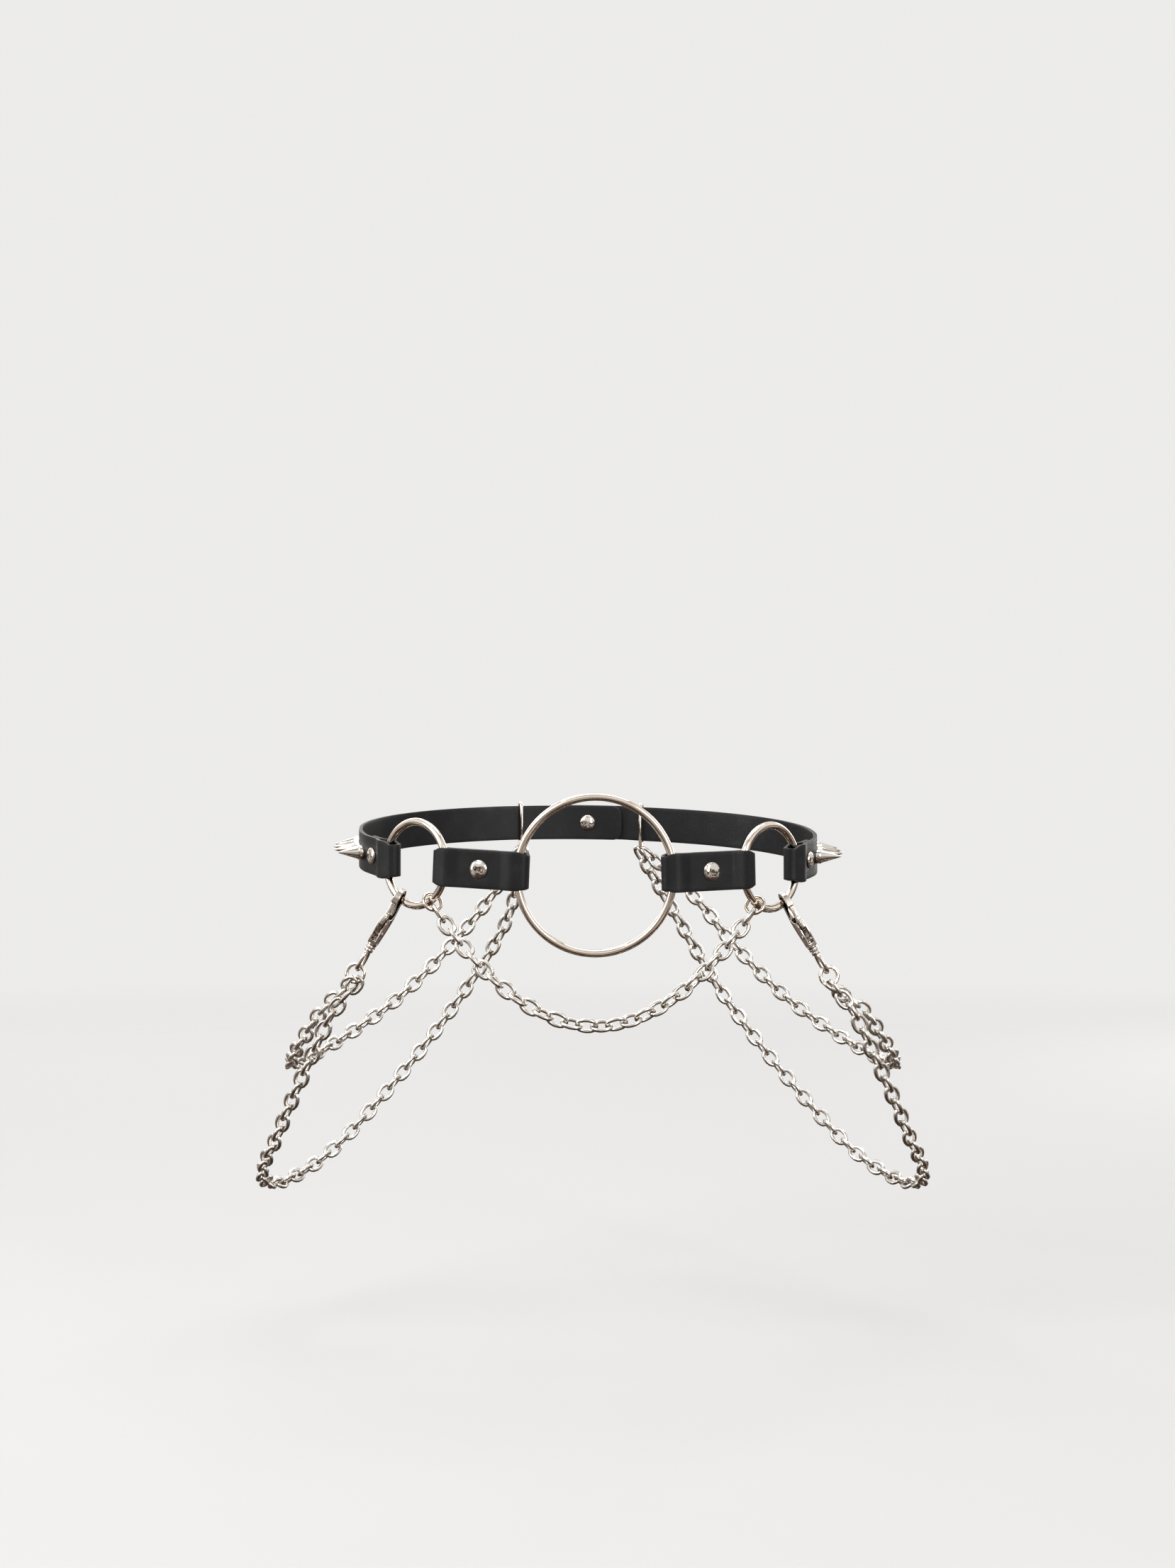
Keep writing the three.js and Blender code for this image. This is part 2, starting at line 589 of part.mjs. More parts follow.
function buildClip(side, sideName, ring) {
  const wire = onSmallRing(ring, 1, CLIP_ANGLE);
  const lean = radians(CLIP_LEAN_OUT);
  const up = new THREE.Vector3(-side * Math.sin(lean), 0, Math.cos(lean));
  const gate = FORWARD.clone().applyAxisAngle(up, side * radians(CLIP_TURN));
  const thick = new THREE.Vector3().crossVectors(gate, up);
  const clip = new THREE.Group();
  frameAt(wire, gate, up, thick).decompose(clip.position, clip.quaternion, clip.scale);
  part.add(clip);

  const slotFloor = -(CLIP_LENGTH - HOOK_WALL);
  const slotTop = MOUTH_FLOOR + LEVER_DEPTH + GAP;
  const slotFrom = -HOOK_RADIUS + SLOT_BACK;
  const slot = new THREE.BoxGeometry(2 * HOOK_OUTER, slotTop - slotFloor, SLOT);
  slot.translate(slotFrom + HOOK_OUTER, (slotTop + slotFloor) / 2, 0);
  const stand = (geometry) => geometry.rotateX(-Math.PI / 2);
  const collar = stand(pin(COLLAR / 2, -GAP, COLLAR_HEIGHT)).rotateX(Math.PI).translate(0, -CLIP_LENGTH, 0);
  const bore = stand(pin(SHANK / 2 + GAP, -COLLAR_HEIGHT - GAP, HOOK_WALL + GAP)).translate(0, -CLIP_LENGTH, 0);
  const pivotPin = pin(PIVOT_PIN / 2, -CLIP_THICK / 2 + GAP, CLIP_THICK / 2 - GAP, 8);
  pivotPin.translate(PIVOT_X, -PIVOT_BELOW, 0);
  const shell = cut(plate(hookShape(), CLIP_THICK), slot, taperCut(1), taperCut(-1));
  const body = cut(join(shell, pivotPin, collar), bore);
  addPiece(`clip_body_${sideName}`, body, METAL_LOOK, null, clip);

  const pinHole = pin(PIVOT_PIN / 2 + GAP, -CLIP_THICK, CLIP_THICK, 10);
  const lever = addPiece(
    `clip_lever_${sideName}`,
    cut(plate(leverShape(), LEVER_THICK), pinHole),
    METAL_LOOK,
    null,
    clip,
  );
  lever.position.set(PIVOT_X, -PIVOT_BELOW, 0);

  const eyeTop = -(CLIP_LENGTH + COLLAR_HEIGHT + GAP);
  const hubFoot = eyeTop - EYE_HUB_HEIGHT;
  const headAt = slotFloor + GAP;
  const shank = stand(pin(SHANK / 2, hubFoot, headAt + SHANK_HEAD_THICK / 2, 8));
  const head = stand(pin(SHANK_HEAD / 2, headAt, headAt + SHANK_HEAD_THICK, 10));
  const hub = stand(pin(EYE_HUB / 2, hubFoot, eyeTop, 10));
  const loopTop = hubFoot + EYE_WIRE / 2;
  const loop = oval(EYE_LENGTH, EYE_WIDTH, EYE_WIRE, 12, 5).rotateZ(Math.PI / 2);
  loop.translate(0, loopTop - EYE_LENGTH / 2, 0);
  const eye = join(hub, shank, head, loop).rotateY(side * radians(EYE_TURN));
  addPiece(`clip_eye_${sideName}`, eye, METAL_LOOK, null, clip);

  // The jump ring stands across the eye's lowest wire.
  const jumpWireAt = loopTop - EYE_LENGTH + EYE_WIRE + GAP + JUMP_WIRE / 2;
  const jumpRadius = (JUMP_INNER + JUMP_WIRE) / 2;
  const jump = oval(2 * jumpRadius + JUMP_WIRE, 2 * jumpRadius + JUMP_WIRE, JUMP_WIRE, 12, 5);
  const jumpTurn = new THREE.Matrix4().makeRotationY(Math.PI / 2 + side * radians(EYE_TURN));
  jumpTurn.setPosition(0, jumpWireAt - jumpRadius, 0);
  addPiece(`hip_jump_${sideName}`, jump, METAL_LOOK, jumpTurn, clip);
  clip.updateMatrixWorld(true);
  return new THREE.Vector3(0, jumpWireAt - jumpRadius, 0).applyMatrix4(clip.matrixWorld);
}

// The swag's jump ring hangs on the small ring's wire, turned from square across it to the front.
function buildSwagJump(side, sideName, ring) {
  const wire = onSmallRing(ring, -1, SWAG_JUMP_ANGLE);
  const spoke = wire.clone().sub(ring.centre).normalize();
  const along = new THREE.Vector3().crossVectors(ring.outAxis, spoke).normalize();
  const face = along.multiplyScalar(side).applyAxisAngle(spoke, -side * radians(JUMP_TURN));
  if (face.y > 0) face.negate();
  const down = UP.clone().negate().addScaledVector(face, face.z).normalize();
  const across = new THREE.Vector3().crossVectors(down, face);
  const radius = (JUMP_INNER + JUMP_WIRE) / 2;
  const hang = JUMP_INNER / 2 - RING_WIRE / 2 - 2 * GAP;
  const centre = wire.clone().addScaledVector(down, hang);
  const jump = oval(2 * radius + JUMP_WIRE, 2 * radius + JUMP_WIRE, JUMP_WIRE, 12, 5);
  addPiece(`swag_jump_${sideName}`, jump, METAL_LOOK, frameAt(centre, across, down, face));
  return { centre, down, across, face, radius };
}

// The swag's own line between its two jump rings: level share u from 0 to 1, for a drop in millimetres.
function swagLine(from, to, drop) {
  const steps = 200;
  return Array.from({ length: steps + 1 }, (_, i) => {
    const u = i / steps;
    const hang = 1 - (2 * u - 1) ** 2;
    return from.clone().lerp(to, u).add(new THREE.Vector3(0, -SWAG_BULGE * hang, -drop * hang));
  });
}

function lineLength(line) {
  return line.slice(1).reduce((sum, point, i) => sum + point.distanceTo(line[i]), 0);
}

function pointAlong(line, distance) {
  let left = distance;
  for (let i = 1; i < line.length; i++) {
    const step = line[i].distanceTo(line[i - 1]);
    if (left <= step || i === line.length - 1) {
      const direction = line[i].clone().sub(line[i - 1]).normalize();
      return { at: line[i - 1].clone().addScaledVector(direction, left), direction };
    }
    left -= step;
  }
}

function buildSwag(leftJump, rightJump) {
  const linkLength = LINK_PITCH + 2 * CHAIN_WIRE - LINK_GRIP;
  // The lowest place on a jump ring's wire in the direction that the chain pulls it.
  const endPoint = (jump, toward) => {
    const pull = new THREE.Vector3(toward * SWAG_PULL, -SWAG_PULL, -1);
    pull.addScaledVector(jump.face, -pull.dot(jump.face)).normalize();
    return jump.centre.clone().addScaledVector(pull, jump.radius);
  };
  const from = endPoint(leftJump, 1);
  const to = endPoint(rightJump, -1);
  const firstAt = (linkLength - CHAIN_WIRE) / 2 - (CHAIN_WIRE + JUMP_WIRE) / 2 - 2 * GAP;
  const wanted = 2 * firstAt + (SWAG_LINKS - 1) * LINK_PITCH;
  let low = 0;
  let high = wanted;
  for (let i = 0; i < 40; i++) {
    const drop = (low + high) / 2;
    if (lineLength(swagLine(from, to, drop)) < wanted) low = drop;
    else high = drop;
  }
  const line = swagLine(from, to, low);
  const link = oval(linkLength, LINK_WIDTH, CHAIN_WIRE, 10, 5);
  const links = [];
  for (let i = 0; i < SWAG_LINKS; i++) {
    const { at, direction } = pointAlong(line, firstAt + i * LINK_PITCH);
    const side = new THREE.Vector3().crossVectors(FORWARD, direction).normalize();
    const out = new THREE.Vector3().crossVectors(direction, side);
    const frame = frameAt(at, direction, side, out);
    const turn = THREE.MathUtils.lerp(...SWAG_TWIST, i / (SWAG_LINKS - 1)) + (i % 2 ? 0 : 90);
    const twist = new THREE.Matrix4().makeRotationX(radians(turn));
    links.push(link.clone().applyMatrix4(frame.multiply(twist)));
  }
  addPiece("swag_chain", join(...links), METAL_LOOK);
}

// A plain loop over the strap at the back; its lowest wire holds the ends of that side's hip chains.
function buildBackLoop(side, sideName) {
  const inner = STRAP_WIDTH + 2 * GAP + BACK_LOOP_DROP;
  const length = inner + 2 * BACK_LOOP_WIRE;
  const width = BACK_LOOP_INNER + 2 * BACK_LOOP_WIRE;
  const loop = oval(length, width, BACK_LOOP_WIRE, 10, 6);
  const loopArc = HALF_ROUND - BACK_OVERLAP / 2 - BACK_LOOP_CLEAR;
  const strapAt = strapFrame(side, loopArc, () => 0);
  const upright = new THREE.Matrix4().makeRotationY(Math.PI / 2).multiply(new THREE.Matrix4().makeRotationZ(Math.PI / 2));
  const drop = (BACK_LOOP_DROP - 2 * GAP) / 2;
  const frame = strapAt.clone().multiply(new THREE.Matrix4().makeTranslation(0, -drop, 0)).multiply(upright);
  addPiece(`back_loop_${sideName}`, loop, METAL_LOOK, frame);
  const low = new THREE.Vector3(0, -drop - (length - BACK_LOOP_WIRE) / 2, 0).applyMatrix4(strapAt);
  const along = new THREE.Vector3().setFromMatrixColumn(strapAt, 0).multiplyScalar(side);
  return { low, along };
}

function buildHipChain(name, side, start, route, end) {
  const middle = route.map(([x, y, z]) => new THREE.Vector3(HIP_SHIFT + side * x, y, z));
  const curve = new THREE.CatmullRomCurve3([start, ...middle, end]);
  const round = new THREE.Shape(
    Array.from({ length: HIP_CHAIN_SIDES }, (_, i) => {
      const angle = (2 * Math.PI * i) / HIP_CHAIN_SIDES;
      return new THREE.Vector2((HIP_CHAIN / 2) * Math.cos(angle), (HIP_CHAIN / 2) * Math.sin(angle));
    }),
  );
  const steps = Math.round(curve.getLength() / (HIP_CHAIN_STEP * HIP_CHAIN));
  const tube = new THREE.ExtrudeGeometry(round, { steps, extrudePath: curve, bevelEnabled: false });
  addPiece(name, tube, METAL_LOOK);
}

const jumps = {};
for (const [side, sideName] of [
  [-1, "left"],
  [1, "right"],
]) {
  const ring = smallRingFrame(side);
  const ringBody = new THREE.TorusGeometry(SMALL_RADIUS, RING_WIRE / 2, 8, 24);
  const ringFace = new THREE.Vector3().crossVectors(ring.awayAxis, UP);
  const ringFrame = frameAt(ring.centre, ring.awayAxis, UP, ringFace);
  addPiece(`ring_small_${sideName}`, ringBody, METAL_LOOK, ringFrame);
  buildTab(`tab_${sideName}`, side, ring);
  buildStrap(side, sideName, ring);
  jumps[sideName] = buildSwagJump(side, sideName, ring);
  const hipJump = buildClip(side, sideName, ring);
  const loop = buildBackLoop(side, sideName);
  const capRise = HIP_CHAIN / 4;
  const jumpFoot = JUMP_INNER / 2 + JUMP_WIRE + GAP + capRise;
  const apart = HIP_CHAIN / 2 + 2 * GAP;
  const loopFoot = BACK_LOOP_WIRE / 2 + GAP + capRise;
  for (const [kind, offset] of [
    ["long", -1],
    ["short", 1],
  ]) {
    const start = hipJump.clone().addScaledVector(UP, -jumpFoot).add(new THREE.Vector3(0, offset * apart, 0));
    const end = loop.low.clone().addScaledVector(UP, -loopFoot).addScaledVector(loop.along, -offset * apart);
    buildHipChain(`hip_chain_${kind}_${sideName}`, side, start, HIP_ROUTES[kind], end);
  }
}
buildSwag(jumps.left, jumps.right);

// One plain post through both strap ends at the centre back.
const postAt = strapFrame(1, HALF_ROUND - WORN_SHIFT, () => 0);
const postFront = STACK + LEATHER / 2 + GAP;
const postBack = -LEATHER / 2 - GAP;
const post = turned(
  [
    [0, postBack - POST_HEAD_THICK],
    [POST_HEAD / 2, postBack - POST_HEAD_THICK],
    [POST_HEAD / 2, postBack],
    [RIVET_SHANK / 2, postBack],
    [RIVET_SHANK / 2, postFront],
    [POST_HEAD / 2, postFront],
    [POST_HEAD / 2, postFront + POST_HEAD_THICK],
    [0, postFront + POST_HEAD_THICK],
  ],
  14,
);
addPiece("strap_post", post, METAL_LOOK, postAt);

export default part;
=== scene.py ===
from math import atan2, ceil, copysign, cos, degrees, hypot, pi, radians, sin, sqrt

import bmesh
import bpy
from mathutils import Matrix, Vector, noise


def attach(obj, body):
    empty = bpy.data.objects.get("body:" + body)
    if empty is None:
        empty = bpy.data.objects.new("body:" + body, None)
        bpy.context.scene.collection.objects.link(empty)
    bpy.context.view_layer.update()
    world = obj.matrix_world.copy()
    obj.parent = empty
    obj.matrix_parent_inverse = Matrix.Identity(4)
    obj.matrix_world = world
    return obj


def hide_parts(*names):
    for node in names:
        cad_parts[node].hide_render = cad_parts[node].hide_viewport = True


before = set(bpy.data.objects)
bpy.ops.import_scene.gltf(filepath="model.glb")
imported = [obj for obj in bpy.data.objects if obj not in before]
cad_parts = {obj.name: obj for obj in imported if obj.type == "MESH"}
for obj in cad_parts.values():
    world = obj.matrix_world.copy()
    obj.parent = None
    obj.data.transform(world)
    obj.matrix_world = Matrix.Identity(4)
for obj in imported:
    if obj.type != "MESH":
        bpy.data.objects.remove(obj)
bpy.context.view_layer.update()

# A black leather belt with a large front ring, small side rings, spikes, a front swag of chain and
# hip chains on trigger hooks. Pieces are made in millimetres, +Z up, with the front facing -Y.

MM = 0.001

WAIST_WIDTH = 249
WAIST_DEPTH = 188
WORN_SHIFT = 4
RISE_TO_BACK = 0.125
RISE_ACROSS = -0.014

STRAP_WIDTH = 20
LEATHER = 2
GAP = 0.3
STACK = LEATHER + GAP

RING_WIRE = 4
LARGE_RADIUS = 40
SMALL_RADIUS = 22
SMALL_RING_ARC = 99
SMALL_RING_OUT = 1.3
SMALL_RING_TURN = 4
LOOP_SLACK = 0.5

TAB_OVERLAP = 18
FOLD_RUN = 8
TAB_RIVET = 9.6
STRAP_TURN_IN = 19
STRAP_RIVET_OUT = 12.5
STRAP_RIVET = 8.6
STRAP_SETTLE = 34
STRAP_LIFT = 27
BACK_OVERLAP = 40
BACK_RISE = 14

SPIKES_A_SIDE = 4
SPIKE_FIRST = 25
SPIKE_PITCH = 10

CHAIN_WIRE = 2.2
LINK_PITCH = 7.7
LINK_WIDTH = 9.2
LINK_TOUCH = 0.05  # how far neighbours meet into each other
SWAG_LINKS = 28
SWAG_BULGE = 22
SWAG_PULL = 0.55
SWAG_TWIST = (-10, 78)
JUMP_INNER = 7.6
JUMP_WIRE = 2
JUMP_RADIUS = (JUMP_INNER + JUMP_WIRE) / 2
SWAG_JUMP_ANGLE = 57
JUMP_TURN = 17

CLIP_ANGLE = 55
CLIP_LEAN_OUT = 30
CLIP_TURN = 9
CLIP_THICK = 4.8
HOOK_TIP_THICK = 2.6
HOOK_RADIUS = 3.9
HOOK_WALL = 2
HOOK_OUTER = HOOK_RADIUS + HOOK_WALL
HOOK_DROP = 0.9
HOOK_NOSE = 2.4
CLIP_LENGTH = 28
CLIP_MOUTH = 12
CLIP_FOOT = 6
COLLAR_HEIGHT = 2.6
LEVER_THICK = 2.2
LEVER_DEPTH = 2.3
LEVER_KNOB = 2.4
PIVOT_BELOW = 21.5
PIVOT_EYE = 2.1
PIVOT_PIN = 0.8
EYE_WIDTH = 8.8
EYE_LENGTH = 13
EYE_WIRE = 2.2
EYE_HUB_HEIGHT = 2
EYE_TURN = 5

BACK_LOOP_CLEAR = 16
BACK_LOOP_INNER = 5
BACK_LOOP_WIRE = 2
BACK_LOOP_DROP = 5

HIP_SHIFT = 3
HIP_LINK_TURN = 45
HIP_STARTS_APART = 1.4
HIP_START_LIFT = 0.4
HIP_ENDS_APART = 1.6
HIP_ROUTES = {
    "long": [
        (138, -54, -75), (150, -47, -99), (162, -36, -124), (172, -23, -146), (181, -5, -163), (184, 17, -175),
        (177, 47, -181), (155, 77, -170), (119, 99, -132), (80, 109, -82), (51, 104, -34),
    ],
    "short": [
        (144, -44, -74), (155, -32, -89), (161, -22, -98), (166, -4, -106), (168, 19, -110), (161, 45, -109),
        (142, 70, -99), (114, 87, -79), (85, 97, -50), (61, 97, -21),
    ],
}

UP = Vector((0, 0, 1))
FORWARD = Vector((0, -1, 0))
FRONT_Y = -(WAIST_DEPTH / 2 - LEATHER / 2 + RING_WIRE / 2 + GAP)


# Where things sit on the belt.

def belt_height(x, y):
    return RISE_TO_BACK * (y - FRONT_Y) + RISE_ACROSS * (x - WORN_SHIFT)


WAIST_STEPS = 720


def waist_place(turn):
    return Vector((WAIST_WIDTH / 2 * sin(turn), -WAIST_DEPTH / 2 * cos(turn)))


waist_arcs = [0.0]
for step in range(WAIST_STEPS):
    a, b = (waist_place(2 * pi * k / WAIST_STEPS) for k in (step, step + 1))
    waist_arcs.append(waist_arcs[-1] + (b - a).length)
WAIST_ROUND = waist_arcs[-1]
HALF_ROUND = WAIST_ROUND / 2


def waist_frame(arc):
    """Place, tangent and outward normal of the waist line at an arc length from the front centre."""
    wrapped = arc % WAIST_ROUND
    i = next(k for k in range(WAIST_STEPS) if waist_arcs[k + 1] >= wrapped)
    share = (wrapped - waist_arcs[i]) / (waist_arcs[i + 1] - waist_arcs[i])
    turn = (i + share) * 2 * pi / WAIST_STEPS
    tangent = Vector((WAIST_WIDTH / 2 * cos(turn), WAIST_DEPTH / 2 * sin(turn))).normalized()
    return waist_place(turn), tangent, Vector((tangent.y, -tangent.x))


def on_strap(side, arc, out):
    place, _, normal = waist_frame(WORN_SHIFT + side * arc)
    return place + normal * out


def smooth(x, low, high):
    t = min(max((x - low) / (high - low), 0), 1)
    return t * t * (3 - 2 * t)


def frame_at(origin, x, y, z):
    axes = Matrix((x, y, z)).transposed().to_4x4()
    return Matrix.Translation(origin) @ axes


class SmallRing:
    """The place of one side's small ring: its centre, and its axes away from the front and outwards."""

    def __init__(self, side):
        place, tangent, normal = waist_frame(WORN_SHIFT + side * SMALL_RING_ARC)
        turn = Matrix.Rotation(side * radians(SMALL_RING_TURN), 2)
        self.side = side
        self.away = turn @ (tangent * side)
        self.out = turn @ normal
        at = place + normal * SMALL_RING_OUT
        self.centre = Vector((at.x, at.y, belt_height(at.x, at.y)))
        self.away_axis = self.away.to_3d()
        self.out_axis = self.out.to_3d()

    def on_wire(self, toward, angle):
        """A place on the wire, the angle below its outer (+1) or inner (-1) side."""
        across = self.away_axis * toward * cos(radians(angle))
        return self.centre + (across - UP * sin(radians(angle))) * SMALL_RADIUS


LARGE_CENTRE = Vector((WORN_SHIFT, FRONT_Y, 0))


# Ways to make a mesh.

def turned(profile, steps=48):
    """A body of revolution about Z, from (radius, height) pairs that start and end on the axis."""
    bm = bmesh.new()
    spots = [bm.verts.new((radius, 0, height)) for radius, height in profile]
    edges = [bm.edges.new(pair) for pair in zip(spots, spots[1:])]
    bmesh.ops.spin(bm, geom=spots + edges, axis=UP, cent=(0, 0, 0), angle=2 * pi, steps=steps, use_merge=True)
    bmesh.ops.remove_doubles(bm, verts=bm.verts, dist=1e-4)
    bmesh.ops.recalc_face_normals(bm, faces=bm.faces)
    return bm


def round_ring(radius, wire, around, sides):
    bm = bmesh.new()
    start = Matrix.Rotation(pi / around, 4, "Z") @ Matrix.Translation((radius, 0, 0)) @ Matrix.Rotation(pi / 2, 4, "X")
    bmesh.ops.create_circle(bm, segments=sides, radius=wire / 2, matrix=start)
    geometry = bm.verts[:] + bm.edges[:]
    bmesh.ops.spin(bm, geom=geometry, axis=UP, cent=(0, 0, 0), angle=2 * pi, steps=around, use_merge=True)
    bmesh.ops.recalc_face_normals(bm, faces=bm.faces)
    return bm


def oval_ring(length, width, wire, around, sides):
    radius = (width - wire) / 2
    bm = round_ring(radius, wire, around, sides)
    for vert in bm.verts:
        lean = vert.co.x / hypot(vert.co.x, vert.co.y)
        vert.co.x += (length - width) / 2 * lean * (1.6 - 0.6 * lean * lean)
    return bm


def plate(outline, thick):
    """A flat plate in the XY plane, centred on it."""
    bm = bmesh.new()
    face = bm.faces.new([bm.verts.new((x, y, -thick / 2)) for x, y in outline])
    grown = bmesh.ops.extrude_face_region(bm, geom=[face])["geom"]
    top = [item for item in grown if isinstance(item, bmesh.types.BMVert)]
    bmesh.ops.translate(bm, vec=(0, 0, thick), verts=top)
    bmesh.ops.recalc_face_normals(bm, faces=bm.faces)
    return bm


def block(low, high):
    bm = bmesh.new()
    bmesh.ops.create_cube(bm, size=1)
    bmesh.ops.scale(bm, vec=Vector(high) - Vector(low), verts=bm.verts)
    bmesh.ops.translate(bm, vec=(Vector(high) + Vector(low)) / 2, verts=bm.verts)
    return bm


def moved(bm, matrix):
    bmesh.ops.transform(bm, matrix=matrix, verts=bm.verts)
    return bm


def mesh_of(bm, name="making"):
    mesh = bpy.data.meshes.new(name)
    bm.to_mesh(mesh)
    bm.free()
    return mesh


def joined(*parts):
    bm = bmesh.new()
    for part in parts:
        bm.from_mesh(mesh_of(part))
    return bm


def cut(body, tool):
    """The body with the tool's space taken out of it."""
    held = [bpy.data.objects.new("making", mesh_of(bm)) for bm in (body, tool)]
    for item in held:
        bpy.context.collection.objects.link(item)
    step = held[0].modifiers.new("fit", "BOOLEAN")
    step.operation = "DIFFERENCE"
    step.solver = "EXACT"
    step.object = held[1]
    ready = held[0].evaluated_get(bpy.context.evaluated_depsgraph_get())
    bm = bmesh.new()
    bm.from_mesh(ready.to_mesh())
    for item in held:
        bpy.data.objects.remove(item)
    bmesh.ops.remove_doubles(bm, verts=bm.verts, dist=1e-3)
    bmesh.ops.dissolve_limit(bm, angle_limit=radians(1), verts=bm.verts, edges=bm.edges)
    return bm


def run_of_links(places, pitch, around, sides):
    """A chain of oval links as one mesh, a link at each place with its length along the place's X."""
    link = mesh_of(oval_ring(pitch + 2 * CHAIN_WIRE - LINK_TOUCH, LINK_WIDTH, CHAIN_WIRE, around, sides))
    bm = bmesh.new()
    for place in places:
        before = len(bm.verts)
        bm.from_mesh(link)
        bm.verts.ensure_lookup_table()
        bmesh.ops.transform(bm, matrix=place, verts=bm.verts[before:])
    return bm


ROWS = 10


def leather_sheet(count, place):
    """A sheet of leather without its thickness: place(i, height) is its point at column i."""
    bm = bmesh.new()
    bmesh.ops.create_grid(bm, x_segments=count - 1, y_segments=ROWS, size=1)
    for vert in bm.verts:
        column = round((vert.co.x + 1) / 2 * (count - 1))
        vert.co = place(column, vert.co.y)
    return bm


def even_steps(points, most):
    """The same line with points no further apart than most."""
    line = [points[0]]
    for start, end in zip(points, points[1:]):
        count = ceil((end - start).length / most)
        line += [start.lerp(end, (k + 1) / count) for k in range(count)]
    return line


def outward(line, i):
    along = (line[min(i + 1, len(line) - 1)] - line[max(i - 1, 0)]).normalized()
    return Vector((along.y, -along.x))


def measured(line):
    """The length of the line up to each of its points."""
    run = [0.0]
    for start, end in zip(line, line[1:]):
        run.append(run[-1] + (end - start).length)
    return run


def to_end(line):
    """Each point's distance along the line from its nearer end, and from its start."""
    run = measured(line)
    return [min(d, run[-1] - d) for d in run], run


# Finishes.

class Signal:
    """A shader value. Arithmetic on it adds Math nodes."""

    def __init__(self, finish, socket):
        self.finish = finish
        self.socket = socket

    def maths(self, operation, *values):
        return self.finish.node("ShaderNodeMath", {"operation": operation}, dict(enumerate(values)))

    def __add__(self, other):
        return self.maths("ADD", self, other)

    def __sub__(self, other):
        return self.maths("SUBTRACT", self, other)

    def __rsub__(self, other):
        return self.maths("SUBTRACT", other, self)

    def __mul__(self, other):
        return self.maths("MULTIPLY", self, other)

    __radd__ = __add__
    __rmul__ = __mul__

    def between(self, low, high):
        """0 below low and 1 above high, softly."""
        values = {"Value": self, "From Min": low, "From Max": high}
        return self.finish.node("ShaderNodeMapRange", {"interpolation_type": "SMOOTHSTEP"}, values)


class Finish:
    """A material under its own Principled shader."""

    def __init__(self, name, **fixed):
        self.material = bpy.data.materials.new(name)
        self.material.use_nodes = True
        self.tree = self.material.node_tree
        self.shader = self.tree.nodes["Principled BSDF"]
        for socket, value in fixed.items():
            self.shader.inputs[socket.replace("_", " ")].default_value = value
        self.place = self.node("ShaderNodeTexCoord", {}, {}, "Object")

    def node(self, kind, settings, inputs, output=0):
        node = self.tree.nodes.new(kind)
        for key, value in settings.items():
            setattr(node, key, value)
        for key, value in inputs.items():
            if isinstance(value, Signal):
                self.tree.links.new(value.socket, node.inputs[key])
            else:
                node.inputs[key].default_value = value
        return Signal(self, node.outputs[output])

    def cloud(self, size_mm, detail=2, roughness=0.5, stretch=(1, 1, 1)):
        """Soft noise whose patches are about size_mm across."""
        place = self.place
        if stretch != (1, 1, 1):
            place = self.node("ShaderNodeMapping", {}, {"Vector": place, "Scale": stretch})
        values = {"Vector": place, "Scale": 1 / (size_mm * MM), "Detail": detail, "Roughness": roughness}
        return self.node("ShaderNodeTexNoise", {}, values, "Fac")

    def colours(self, factor, low, high):
        settings = {"data_type": "RGBA", "clamp_factor": True}
        return self.node("ShaderNodeMix", settings, {0: factor, 6: (*low, 1), 7: (*high, 1)}, 2)

    def give(self, socket, signal):
        self.tree.links.new(signal.socket, self.shader.inputs[socket])

    def bump(self, height, depth_mm, strength=0.5):
        values = {"Height": height, "Distance": depth_mm * MM, "Strength": strength}
        self.give("Normal", self.node("ShaderNodeBump", {}, values))


LEATHER_DARK = (0.003, 0.0032, 0.004)
LEATHER_RUBBED = (0.012, 0.0124, 0.0145)
LEATHER_SHEEN = 0.33
LEATHER_ROUGHNESS = 0.44
PEBBLE_MM = 0.55
PEBBLE_WANDER_MM = 0.6
PORE_MM = 0.22
EDGE_DARK = (0.02, 0.0195, 0.019)
EDGE_PALE = (0.062, 0.058, 0.055)


def grained_leather():
    """Matte black leather: pebbled grain, fine pores, a soft sheen and faint rubbing."""
    finish = Finish("leather_black", Specular_IOR_Level=LEATHER_SHEEN)
    wander = finish.cloud(2.2, 2)
    inputs = {0: wander_vector(finish, 2.0), 1: (PEBBLE_WANDER_MM * MM,) * 3, 2: finish.place}
    shifted = finish.node("ShaderNodeVectorMath", {"operation": "MULTIPLY_ADD"}, inputs)
    inputs = {"Vector": shifted, "Scale": 1 / (PEBBLE_MM * MM)}
    grain = finish.node("ShaderNodeTexVoronoi", {"feature": "DISTANCE_TO_EDGE"}, inputs)
    pebbles = grain.between(0.0, 0.28)
    pores = finish.cloud(PORE_MM, 3, 0.6)
    swell = finish.cloud(9, 2)
    rubbed = (finish.cloud(14, 4, 0.6) + pebbles * 0.12).between(0.52, 0.78)
    finish.bump(pebbles * 0.45 + pores * 0.4 + swell * 2.4, 0.08)
    finish.give("Base Color", finish.colours(rubbed * 0.7 + wander * 0.15, LEATHER_DARK, LEATHER_RUBBED))
    finish.give("Roughness", LEATHER_ROUGHNESS - pebbles * 0.06 + pores * 0.1 - rubbed * 0.06)
    return finish.material


def wander_vector(finish, size_mm):
    values = {"Vector": finish.place, "Scale": 1 / (size_mm * MM), "Detail": 1.0}
    return finish.node("ShaderNodeTexNoise", {}, values, "Color")


